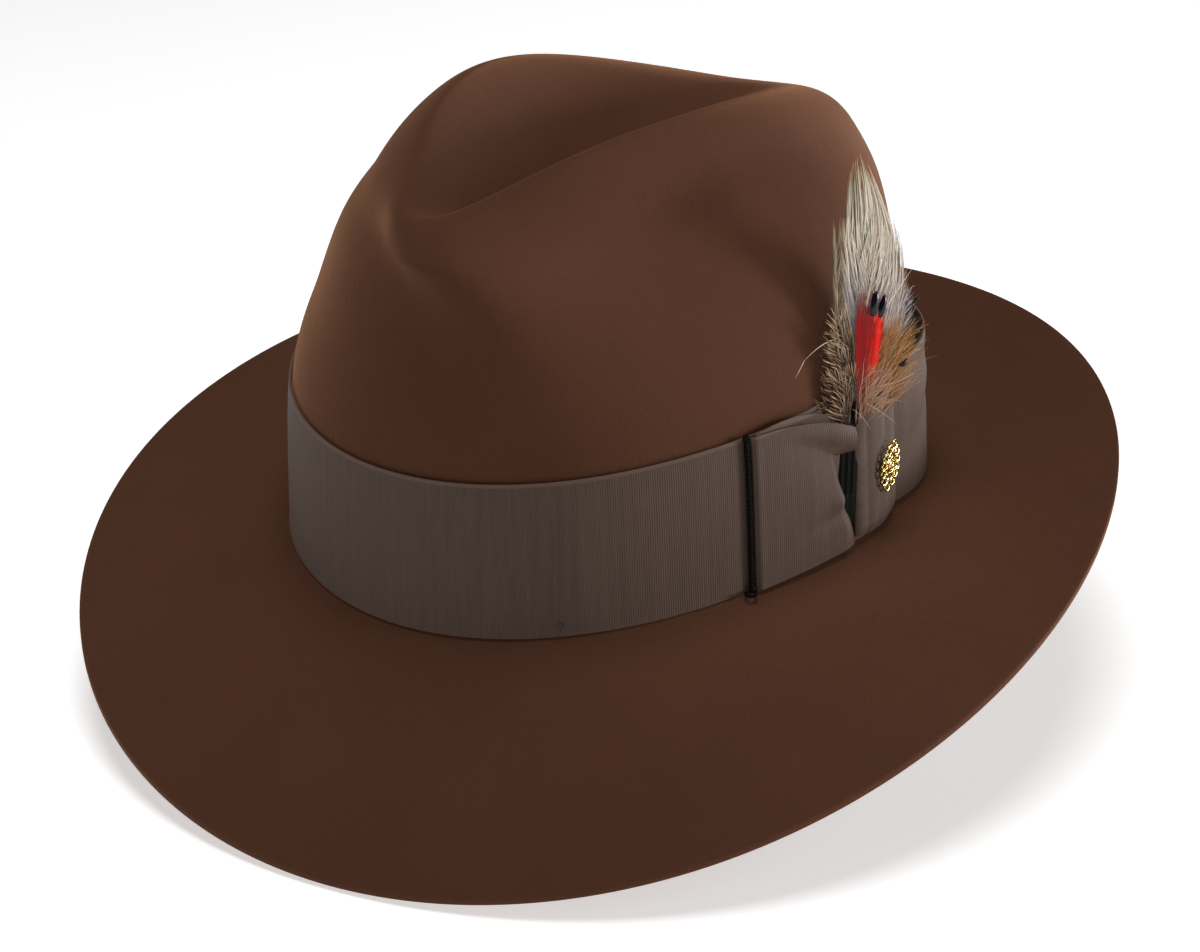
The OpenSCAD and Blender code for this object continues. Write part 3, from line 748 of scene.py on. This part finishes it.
a = np.arange(FELT_COLS) * 360 / FELT_COLS
h = np.array([0, 0.5, 1.2, 3, 6, 12, 20, 30, 40, 46, 47.5, SWEAT_W])[:, None]
stand = 0.35 * smooth(h, 10, 48) * (1 + sin(a * 9)) / 2
skin = SWEAT_OUT + stand - 0.25 * (bump(h, 0, 1.0) + bump(h, 48, 0.8))
leather = slab("sweatband_leather", beside(a, h, -skin), beside(a, h, -skin - SWEAT_T), leather_mat,
               "leather", closed=True)
stand_in(leather, "sweatband")
stitches = []
for angle in np.arange(0, 360, 2.1):
    ends = beside(np.array([angle, angle + 1.35]), 5.5, -(SWEAT_OUT + SWEAT_T + 0.12))
    stitches.append(np.linspace(ends[0], ends[1], 4))
sewing = tubes("sweatband_stitches", stitches, 0.28, stitch_mat, "thread", sides=6)
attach(sewing, "hat")

TIP = np.array([[75, 90, 66], [74.6, 89.5, 69], [74, 89, 72], [71.5, 86, 75.5], [68, 82, 78], [62, 75, 80.3],
                [54, 66, 82], [44, 54, 83.5], [34, 42, 84.5], [22, 28, 85.1], [10, 14, 85.5]], float)
t = np.concatenate([np.linspace(0.77, 1, 5), np.linspace(1, 1.8, 10)[1:]])[:, None]
fold = 0.35 * sin(a * 36) * smooth(t, 0.85, 1.1)


def sewn_to_tip(rows, lift):
    """Runs the top of the side lining on to the foot of the tip, so that no gap is left between them."""
    wide, long, high = TIP[0] + [-0.2, -0.2, lift]
    foot = xyz(wide * sin(a), 2 - long * cos(a), high)
    return np.concatenate([rows, [(rows[-1] + foot) / 2 + [0, 0, 0.6], foot]])


side_lining = slab("lining_side_satin", sewn_to_tip(off_crown(a, t, -CROWN_FELT - 0.7 - fold), 0.5),
                   sewn_to_tip(off_crown(a, t, -CROWN_FELT - 1.1 - fold), 0.1), satin_mat, "satin",
                   closed=True)
stand_in(side_lining, "lining_side")


def dome(name, rings, thick, material, slot, ruffle=0.0):
    """An oval dome, open below and closed over the top. rings give half width, half length and height."""
    cols = 128
    k = np.arange(cols) * 360 / cols
    waves = ruffle * sin(k * 40)[None, :] * bump(np.linspace(0, 1, len(rings)), 0.3, 0.25)[:, None]
    outer = xyz(rings[:, :1] * sin(k), 2 - rings[:, 1:2] * cos(k), rings[:, 2:] + waves)
    inner = xyz((rings[:, :1] - thick) * sin(k), 2 - (rings[:, 1:2] - thick) * cos(k),
                rings[:, 2:] + waves - thick)
    rows = len(rings)
    size = rows * cols
    tip = (rows - 1) * cols
    tops = [outer[-1].mean(0) + [0, 0, 0.15], inner[-1].mean(0) + [0, 0, 0.15]]
    points = np.concatenate([outer.reshape(-1, 3), inner.reshape(-1, 3), tops])
    faces = quads(rows, cols, 0, True).tolist() + quads(rows, cols, size, True, True).tolist()
    for c in range(cols):
        n = (c + 1) % cols
        faces += [[n, c, size + c, size + n], [tip + c, tip + n, 2 * size],
                  [size + tip + n, size + tip + c, 2 * size + 1]]
    return mesh_object(name, points, faces, material, slot, 60)


tip_lining = dome("lining_tip_satin", TIP, 0.4, satin_mat, "satin", ruffle=0.5)
stand_in(tip_lining, "lining_tip")
SHIELD = np.array([[44, 54, 81], [40, 49.5, 81.5], [30, 38, 82], [20, 26, 82.5], [10, 14, 82.8]])
shield = dome("tip_shield_film", SHIELD, 0.3, film_mat, "clear_film")
stand_in(shield, "tip_shield")

# Feather spray ------------------------------
# Barbs are laid out in the plane of the vanes: y across the spray, z up it, x out from the crown.

SPRAY = (Matrix.Translation(SPRAY_AT) @ turned_by(-SPRAY_TUCK, "Y") @ turned_by(-SPRAY_LEAN, "X")
         @ turned_by(-SPRAY_TURN, "Z"))


def curve(start, middle, end, steps):
    """Points of many quadratic curves at once, from arrays of start, middle and end points."""
    f = np.linspace(0, 1, steps)[None, :, None]
    start, middle, end = (np.asarray(p, float)[:, None, :] for p in (start, middle, end))
    return (1 - f) ** 2 * start + 2 * f * (1 - f) * middle + f * f * end


def barbs(name, paths, widths, tints, material, slot):
    """Tapered three-sided barbs. paths is (barbs, steps, 3) and tints (barbs, steps, 3)."""
    count, steps = paths.shape[:2]
    ahead = unit(np.gradient(paths, axis=1), 1e-9)
    side = unit(np.cross(ahead, np.array([1.0, 0, 0])), 1e-9)
    f = np.linspace(0, 1, steps)
    taper = (np.minimum(1, 0.55 + 3 * f) * np.maximum(0.12, 1 - f ** 3))[None, :, None]
    half = np.asarray(widths, float)[:, None, None] * taper / 2
    lift = np.cross(side, ahead)
    rows = np.stack([paths - side * half, paths + side * half, paths + lift * half * 0.8], 2)
    points = moved(rows.reshape(-1, 3), SPRAY)
    base = np.arange(count)[:, None] * steps * 3
    ring = base + np.arange(steps - 1)[None, :] * 3
    faces = []
    for i, j in ((0, 1), (1, 2), (2, 0)):
        faces += np.stack([ring + j, ring + i, ring + i + 3, ring + j + 3], -1).reshape(-1, 4).tolist()
    last = (base + (steps - 1) * 3).ravel()
    first = base.ravel()
    faces += np.stack([first, first + 1, first + 2], -1).tolist()
    faces += np.stack([last + 2, last + 1, last], -1).tolist()
    tint = np.repeat(np.concatenate([tints, np.ones((count, steps, 1))], 2)[:, :, None], 3, 2).reshape(-1, 4)
    obj = mesh_object(name, points, faces, material, slot, 80, tint=tint)
    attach(obj, "spray")
    return obj


def colours(count, steps, *stops):
    """Colours along every barb from (place, colour) stops, where a colour may be one for each barb."""
    f = np.linspace(0, 1, steps)
    places = [place for place, _ in stops]
    out = np.zeros((count, steps, 3))
    for c in range(3):
        values = np.stack([np.broadcast_to(np.asarray(v, float)[..., c], (count,)) for _, v in stops], -1)
        for i in range(count):
            out[i, :, c] = np.interp(f, places, values[i])
    return out


def pick(mask, a, b):
    return np.where(np.asarray(mask)[:, None], np.array(a, float), np.array(b, float))


CREAM, BROWN, BLACK_BROWN = (0.78, 0.72, 0.58), (0.17, 0.08, 0.035), (0.014, 0.01, 0.007)
TAN, RED, DARK_RED = (0.62, 0.29, 0.1), (0.95, 0.02, 0.01), (0.4, 0.012, 0.012)


def main_hackle():
    """Long barbs that run up side by side and part into pointed tufts along both edges."""
    count, steps = 640, 11
    edge_z = [4, 12, 24, 38, 50, 61, 70, 75]
    right = np.array([3, 8.5, 18.2, 19, 16, 10.4, 4.8, 1.0])
    left = np.array([2, 0.2, -2, -3.4, -3.9, -2.6, -1.6, -0.3])
    s0 = rng.uniform(-0.8, 0.75, count)
    z0 = 4 + 44 * rng.random(count) ** 1.1
    together = 1 - 0.7 * smooth(z0, 24, 44)
    tuft = np.floor((s0 + 1) * 9) * 3.7 + np.floor(z0 / 7)
    wobble = np.abs(np.sin(tuft * 12.9898)) * 43.7 % 1
    side = np.where(s0 + rng.normal(0, 0.25, count) < -0.25, -1, 1)
    s1 = np.where(side < 0, s0 - (0.3 + 0.4 * wobble) * together,
                  s0 + (1.03 - s0) * (0.45 + 0.6 * wobble) * together)
    s1 = np.clip(s1 + rng.normal(0, 0.04, count), -1.02, 1.03)
    z1 = np.minimum(z0 + 20 + 9 * wobble + rng.normal(0, 1.0, count),
                    75 - 3.5 * np.abs(s1 - 0.1) - rng.random(count))
    f = np.linspace(0, 1, steps)[None, :]
    z = z0[:, None] + (z1 - z0)[:, None] * f
    s = s0[:, None] + (s1 - s0)[:, None] * f ** 1.8
    low, high = np.interp(z, edge_z, left), np.interp(z, edge_z, right)
    y = (low + high) / 2 + s * (high - low) / 2
    x = (0.5 + rng.random(count))[:, None] + 0.9 * np.sin(np.pi * f * 0.7) * (1 - 0.6 * np.abs(s))
    paths = xyz(x, y, z)
    streak = np.abs(np.sin(np.floor((s0 + 1) * 23) * 7.31)) < 0.3
    body = pick(streak, (0.07, 0.08, 0.04), (1.0, 0.9, 0.76)) * (0.75 + 0.35 * rng.random((count, 1)))
    high_up = smooth(z0, 16, 34)[:, None]
    pale = np.array([0.88, 0.76, 0.76]) * (1 - high_up) * (0.55 + 0.5 * rng.random((count, 1)))
    body = body * high_up + pale
    edge = np.where(side > 0, 0.6, 0.75)
    tips = pick(rng.random(count) < edge, (0.5, 0.25, 0.05), (0.8, 0.72, 0.45))
    mid = body * 0.92 + 0.08 * np.array([0.6, 0.55, 0.25])
    tints = colours(count, steps, (0, (0.5, 0.47, 0.48)), (0.25, body), (0.8, mid), (1, tips))
    return barbs("main_hackle", paths, 0.26 + 0.22 * rng.random(count), tints, barb_mat, "feather_cream")


def side_plume():
    """A narrow barred feather on the front side of the spray."""
    count, steps = 260, 7
    tau = rng.random(count)
    root_z = 8 + 37 * tau
    root_y = -2.0 - 3.4 * tau + rng.normal(0, 0.2, count)
    side = np.where(rng.random(count) < 0.62, -1, 1)
    tip_z = root_z + 8.5 + 3 * rng.random(count)
    tip_y = root_y + side * (2.5 - 1.5 * tau) * (0.6 + 0.6 * rng.random(count))
    x0 = 0.4 + 0.7 * rng.random(count)
    start = xyz(x0, root_y, root_z)
    end = xyz(x0 + 0.5, tip_y, tip_z)
    middle = xyz(x0 + 0.6, root_y + 0.75 * (tip_y - root_y), root_z + 4)
    bars = np.sin(root_z * 1.9) > 0.1
    tints = colours(count, steps, (0, pick(bars, (0.07, 0.045, 0.025), (0.5, 0.42, 0.3))),
                    (0.55, pick(bars, (0.6, 0.52, 0.38), (0.12, 0.09, 0.04))),
                    (1, pick(rng.random(count) < 0.6, (0.36, 0.2, 0.06), (0.6, 0.5, 0.33))))
    return barbs("side_plume", curve(start, middle, end, steps), 0.22 + 0.14 * rng.random(count), tints,
                 barb_mat, "feather_barred")


def red_feather():
    """A stiff cut feather: tight straight barbs, dark on the front side and bright on the other."""
    count, steps = 74, 9
    f = np.linspace(0, 1, count)
    foot_y = 3.2 + 4.4 * f
    waist_y = 0.2 + 9.4 * f
    tip_y = 1.4 + 8.6 * f + rng.normal(0, 0.08, count)
    tip_z = 35.2 - 4.6 * smooth(f, 0.55, 1) + rng.normal(0, 0.35, count)
    bow_out = 0.7 * np.sin(np.pi * f) + 0.5 * bump(f, 0.72, 0.1)
    start = xyz(3.0, foot_y * 0.7 + 1, 0.5 + 2.5 * rng.random(count))
    middle = xyz(3.7 + bow_out, waist_y * 1.25 - foot_y * 0.25, 18)
    end = xyz(3.6 + bow_out, tip_y, tip_z)
    tone = np.array(DARK_RED) + (np.array(RED) - DARK_RED) * smooth(f, 0.5, 0.7)[:, None]
    tone = tone * (0.8 + 0.4 * rng.random((count, 1)))
    foot = np.array([0.4, 0.1, 0.08]) * (0.7 + 0.5 * rng.random((count, 1)))
    tints = colours(count, steps, (0, foot), (0.15, foot * 0.8), (0.4, tone), (1, tone * 1.1))
    widths = np.full(count, 0.3)
    return barbs("red_feather", curve(start, middle, end, steps), widths, tints, red_mat, "feather_red")


def nails():
    """Two glossy black nail-shaped tips, each a small domed shell."""
    parts = Parts()
    rows, cols = 9, 20
    k = 2 * np.pi * np.arange(cols) / cols
    # out over the dome, then back in across its flat underside
    polar = np.pi / 2 * np.arange(rows) / (rows - 1)
    grow = np.concatenate([np.sin(polar), 0.98 * np.sin(polar)[::-1]])[:, None]
    x = np.concatenate([4.75 + 0.75 * np.cos(polar), np.full(rows, 4.6)])[:, None]
    for y, z, wide, tall, lean in ((5.9, 32.0, 1.45, 3.6, 0.10), (8.6, 31.2, 1.2, 3.3, 0.16)):
        local_z = tall * grow * np.sin(k)
        local_y = wide * grow * np.cos(k) * (1 - 0.12 * np.sin(k)) + lean * local_z
        shell = xyz(x, y + local_y, z + local_z)
        parts.add(shell.reshape(-1, 3), quads(2 * rows, cols, 0, True).tolist())
    points = parts.all_points()
    tint = np.tile([0.006, 0.005, 0.012, 1.0], (len(points), 1))
    obj = mesh_object("black_nails", moved(points, SPRAY), parts.faces, nail_mat, "feather_black", 60,
                      tint=tint)
    # rings that have shrunk to a point are merged away
    work = bmesh.new()
    work.from_mesh(obj.data)
    bmesh.ops.remove_doubles(work, verts=work.verts, dist=0.02 * MM)
    bmesh.ops.recalc_face_normals(work, faces=work.faces)
    work.to_mesh(obj.data)
    work.free()
    return obj


def fluff(name, count, root, spread_deg, reach, x_range, tone, slot, curl=0.3, width=0.2):
    """A fan of soft barbs. root is (y, z, scatter y, scatter z), angles are from straight up towards +y."""
    steps = 6
    angle = np.radians(spread_deg[0] + (spread_deg[1] - spread_deg[0]) * rng.random(count))
    long = reach[0] + (reach[1] - reach[0]) * rng.random(count)
    y0 = root[0] + root[2] * (rng.random(count) - 0.5)
    z0 = root[1] + root[3] * (rng.random(count) - 0.5)
    x0 = x_range[0] + 0.3 * rng.random(count)
    x1 = x_range[0] + (x_range[1] - x_range[0]) * rng.random(count)
    start = xyz(x0, y0, z0)
    end = xyz(x1, y0 + long * np.sin(angle), z0 + long * np.cos(angle))
    bend = curl * long * rng.normal(0.3, 0.5, count)
    middle = (start + end) / 2 + xyz(0.4, -bend * np.cos(angle), bend * np.sin(angle))
    tints = tone(count, steps)
    widths = width * (0.7 + 0.6 * rng.random(count))
    return barbs(name, curve(start, middle, end, steps), widths, tints, down_mat, slot)


def tan_tone(count, steps):
    low = pick(rng.random(count) < 0.35, (0.8, 0.54, 0.36), BROWN)
    mid = np.array(TAN) * (0.5 + 0.7 * rng.random((count, 1)))
    tip = pick(rng.random(count) < 0.4, (0.85, 0.54, 0.3), (0.5, 0.24, 0.08))
    return colours(count, steps, (0, low), (0.5, mid), (1, tip))


def brown_tone(count, steps):
    mid = pick(rng.random(count) < 0.7, BLACK_BROWN, BROWN)
    tip = pick(rng.random(count) < 0.5, (0.8, 0.48, 0.28), (0.2, 0.09, 0.04))
    return colours(count, steps, (0, BROWN), (0.3, mid), (0.75, mid), (1, tip))


def bristle_tone(count, steps):
    tip = pick(rng.random(count) < 0.6, (1.0, 0.72, 0.48), (0.62, 0.3, 0.12))
    return colours(count, steps, (0, (0.02, 0.013, 0.008)), (0.5, tip * 0.2), (0.85, tip * 0.85), (1, tip))


def core_tone(count, steps):
    return colours(count, steps, (0, (0.42, 0.2, 0.12)), (1, (0.8, 0.52, 0.36)))


def speck_tone(count, steps):
    return colours(count, steps, (0, (0.01, 0.008, 0.006)), (1, (0.03, 0.02, 0.012)))


def white_tone(count, steps):
    mid = pick(rng.random(count) < 0.84, (0.6, 0.57, 0.6), (0.03, 0.025, 0.03))
    return colours(count, steps, (0, (0.5, 0.45, 0.42)), (0.5, mid), (1, (0.68, 0.65, 0.67)))


def card_fold():
    """The stiff card the stems are glued in: folded over them, with a rounded foot and a trimmed top."""
    y, z = np.meshgrid(np.linspace(-2.4, 5.6, 25), np.linspace(-32, -1, 41))
    in_y, in_z = (y - 1.6) / 4, (z + 16.5) / 15.5
    rim = np.clip(1 - np.maximum(np.abs(in_y) ** 10, np.abs(in_z) ** 24), 0, 1)
    stems = sum(bump(y, at, 0.5) for at in (-0.4, 1.6, 3.6)) * smooth(z, -27, -22)
    outer = xyz(-0.1 + (0.75 + 0.35 * stems) * rim ** 0.5, y * (1 - 0.04 * in_z ** 8), z)
    inner = xyz(-0.25, outer[..., 1], z)
    return slab("spray_card", moved(outer, SPRAY), moved(inner, SPRAY), card_mat, "card")


def quills():
    """Three stems, pale where they come out of the card and painted near black below it, a painted shade of
    the gap by the knot.
    """
    parts = Parts()
    f = np.linspace(0, 1, 24)
    for y, bend in ((-0.4, -0.5), (1.6, 0.1), (3.6, 0.6)):
        path = xyz(0.62 + 0.3 * smooth(f, 0.7, 1), y + bend * f ** 3, -24 + 34 * f)
        parts.add(*tube_parts(path, 0.33 - 0.08 * f))
    points = parts.all_points()
    # below the card's top the stems are painted near black: painted shade of the dark gap beside the knot
    up = smooth(points[:, 2], -3, 0)[:, None]
    tone_with_painted_shade = (1 - up) * (0.004, 0.0035, 0.003) + up * (0.5, 0.42, 0.28)
    tint = np.concatenate([tone_with_painted_shade, np.ones((len(points), 1))], 1)
    return mesh_object("spray_quills", moved(points, SPRAY), parts.faces, quill_mat, "quill", 60, tint=tint)


stand_in(card_fold(), "feather_card", "spray")
stand_in(quills(), "feather_quills", "spray")
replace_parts(main_hackle(), "feather_main_hackle")
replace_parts(side_plume(), "feather_side_plume")
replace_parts(red_feather(), "feather_red")
stand_in(nails(), "feather_black_tips", "spray")
tan = fluff("tan_fluff", 520, (9, 8, 8, 16), (0, 60), (9, 18.5), (2.3, 4.6), tan_tone, "feather_tan")
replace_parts(tan, "feather_tan_fluff")
brown = fluff("brown_hackle", 420, (-1.5, 9, 5, 25), (-75, -8), (5, 10), (2.3, 4.4), brown_tone,
              "feather_brown", width=0.26)
BRISTLE_ROOTS = ((-1, 0), (-2, 5), (-3.5, 9), (-2.5, 14), (-4.5, 18), (-1.5, 20), (-4, 24), (0.5, 9))
for i, (y, z) in enumerate(BRISTLE_ROOTS):
    for j, fan in enumerate(((-80, -45), (-35, 10))):
        fluff(f"bristles_{i}_{j}", 12, (y, z, 2.5, 3.5), fan, (4.5, 8), (3.6, 5.0), bristle_tone,
              "feather_brown", width=0.3, curl=0.15)
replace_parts(brown, "feather_brown_hackle")
fluff("cream_core", 170, (6.5, 4, 7, 12), (-10, 75), (4, 8.5), (3.2, 5.0), core_tone, "feather_tan")
for i, (y, z) in enumerate(((16.2, 13.5), (20.6, 21.5), (19.4, 31.5))):
    fluff(f"black_specks_{i}", 9, (y, z, 1.3, 1.6), (20, 90), (1.2, 2.4), (4.0, 5.0), speck_tone,
          "feather_tan", width=0.45)
white = fluff("white_barbs", 170, (16.5, 26, 4, 10), (-10, 42), (4, 7.5), (0.6, 2.6), white_tone,
              "feather_white")
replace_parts(white, "feather_white_barbs")

# single barbs that have strayed from the spray: start, middle and end (x, y, z), width, colour
STRAYS = [((3.0, -3, 22), (4.0, -9, 24), (4.5, -17, 17), 0.30, CREAM),
          ((4.5, -16.6, 17.4), (4.6, -18, 15), (4.6, -19.5, 12.5), 0.2, CREAM),
          ((3.4, 4, 5), (6.5, 9, 5.5), (8.2, 16.5, 3.5), 0.22, (0.5, 0.36, 0.3)),
          ((3.4, 4, 4), (6.8, 8, 2), (8.4, 13, -2.5), 0.24, (0.6, 0.45, 0.36)),
          ((3.2, 1, 2), (5.5, 3, 0.5), (7.6, 4.5, -3.5), 0.2, (0.62, 0.5, 0.36)),
          ((3.6, 8, 16), (4.6, 11, 22), (4.8, 16, 28), 0.22, (0.6, 0.04, 0.03)),
          ((3.8, 5, 11), (5.2, 9, 10), (4.8, 13, 14.5), 0.2, (0.6, 0.08, 0.07)),
          ((4.0, 3.7, 31), (4.6, 3.8, 36), (3.0, 8.2, 44.5), 0.8, (0.7, 0.62, 0.45)),
          ((4.1, 4.4, 33), (4.8, 4.4, 37), (3.2, 7.4, 42), 0.5, (0.3, 0.2, 0.08)),
          ((4.0, 7.6, 34), (4.4, 8.4, 37), (3.0, 11.0, 41), 0.45, (0.8, 0.66, 0.44)),
          ((4.2, 9.6, 30), (3.6, 14, 35), (2.2, 20, 41), 0.35, (0.8, 0.72, 0.58))]
starts, middles, ends, widths, tones = zip(*STRAYS)
STRAY_STEPS = 12
paths = curve(starts, middles, ends, STRAY_STEPS)
tints = np.repeat(np.array(tones)[:, None], STRAY_STEPS, 1)
barbs("stray_barbs", paths, widths, tints, barb_mat, "feather_cream")

# small CAD pieces that keep their own shape
for material, nodes in ((thread_mat, ("feather_binding", "band_tacks", "bow_stitches", "sweatband_bow")),
                        (cord_mat, ("wind_cord_anchor",)), (reed_mat, ("sweatband_reed",)),
                        (paper_mat, ("size_tab",)), (gold_mat, ("pin_post", "pin_clutch"))):
    for node in nodes:
        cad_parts[node].data.materials.clear()
        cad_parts[node].data.materials.append(material)

# Pin ------------------------------

PIN = Matrix.Translation(PIN_AT) @ turned_by(90, "Y") @ turned_by(-18, "Z")


def circle(centre, radius, tilt, points, height):
    """A ring of points in the badge's plane, waved up and down by tilt."""
    k = 2 * np.pi * np.arange(points) / points
    return xyz(centre[0] + radius * np.cos(k), centre[1] + radius * np.sin(k),
               height + tilt * np.sin(2 * k))


def pin_badge():
    """Openwork oval of twelve wire rings with beads between them, round a small domed boss."""
    z = BADGE_OFF + 0.6
    paths = []
    for i in range(12):
        k = i * 30
        r = 6.2 - 2 * abs(sin(k))
        paths.append(circle((r * cos(k), r * sin(k)), 1.35, 0.15, 16, z))
    paths += [circle((0, 0), 2.3, 0.1, 24, z), circle((0, 0), 1.5, 0.0, 20, z + 0.35)]
    parts = Parts()
    for path in paths:
        parts.add(*tube_parts(path, 0.36, closed=True))
    beads = [(0, 0, 1.25, z + 0.1)]
    for i in range(12):
        k = i * 30 + 15
        r = 4.7 - 1.4 * abs(sin(k))
        beads.append((r * cos(k), r * sin(k), 0.8, z + 0.1))
    rows, cols = 8, 12
    k = 2 * np.pi * np.arange(cols) / cols
    polar = (np.pi * (np.arange(rows) + 0.5) / rows)[:, None]
    faces = quads(rows, cols, 0, True).tolist()
    faces += [list(range(cols))[::-1], list(range((rows - 1) * cols, rows * cols))]
    for x, y, r, height in beads:
        ring = r * np.sin(polar)
        ball = xyz(x + ring * np.cos(k), y + ring * np.sin(k), height - 0.8 * r * np.cos(polar))
        parts.add(ball.reshape(-1, 3), faces)
    return mesh_object("pin_filigree", moved(parts.all_points(), PIN), parts.faces, gold_mat, "gold", 60)


stand_in(pin_badge(), "pin_badge", "pin")

# Stage ------------------------------

floor_mesh = bpy.data.meshes.new("floor")
half, low = 6.0, cad_box[0][2] - MM
corners = [(-half, -half, low), (half, -half, low), (half, half, low), (-half, half, low)]
floor_mesh.from_pydata(corners, [], [(0, 1, 2, 3)])
floor = in_scene("floor", floor_mesh)
floor_look = Look("floor_look", Roughness=0.9, Specular_IOR_Level=0.1, Base_Color=(0.86, 0.86, 0.86, 1),
                  Emission_Color=(1, 1, 1, 1), Emission_Strength=0.5)
floor_mesh.materials.append(floor_look.material)

world = bpy.data.worlds.new("studio")
bpy.context.scene.world = world
world.use_nodes = True
world.node_tree.nodes["Background"].inputs["Color"].default_value = (1, 1, 1, 1)
world.node_tree.nodes["Background"].inputs["Strength"].default_value = 0.03


def area_light(name, place, size, power):
    """A round white light that faces the hat."""
    data = bpy.data.lights.new(name, "AREA")
    data.shape = "DISK"
    data.size = size
    data.energy = power
    light = in_scene(name, data)
    light.location = place
    light.rotation_mode = "QUATERNION"
    light.rotation_quaternion = (-Vector(place)).to_track_quat("-Z", "Y")


area_light("key", (1.64, 0.95, 0.16), 0.55, 25)
area_light("rim", (0.49, 1.83, 0.16), 0.4, 11)
area_light("side", (1.55, 0.16, 1.15), 0.9, 3)
area_light("fill", (-0.64, -1.77, 0.32), 1.0, 3.5)
area_light("top", (0.0, 0.0, 1.96), 1.1, 23)

# Camera ------------------------------

VIEW_AZ, VIEW_EL, VIEW_ROLL, VIEW_FAR = 32.0, 23.66, -1.0, 0.8
back = Vector((sin(VIEW_AZ) * cos(VIEW_EL), -cos(VIEW_AZ) * cos(VIEW_EL), sin(VIEW_EL)))
across = Vector((cos(VIEW_AZ), sin(VIEW_AZ), 0))
right = across * cos(VIEW_ROLL) + back.cross(across) * sin(VIEW_ROLL)
up = back.cross(right)
camera_data = bpy.data.cameras.new("camera")
camera_data.sensor_width = 36
camera_data.lens = 77.52
camera_data.shift_x, camera_data.shift_y = 0.0005, 0.0045
camera = in_scene("camera", camera_data)
camera.matrix_world = Matrix.Translation(back * VIEW_FAR) @ Matrix((right, up, back)).transposed().to_4x4()
bpy.context.scene.camera = camera
bpy.context.scene.view_settings.view_transform = "Standard"
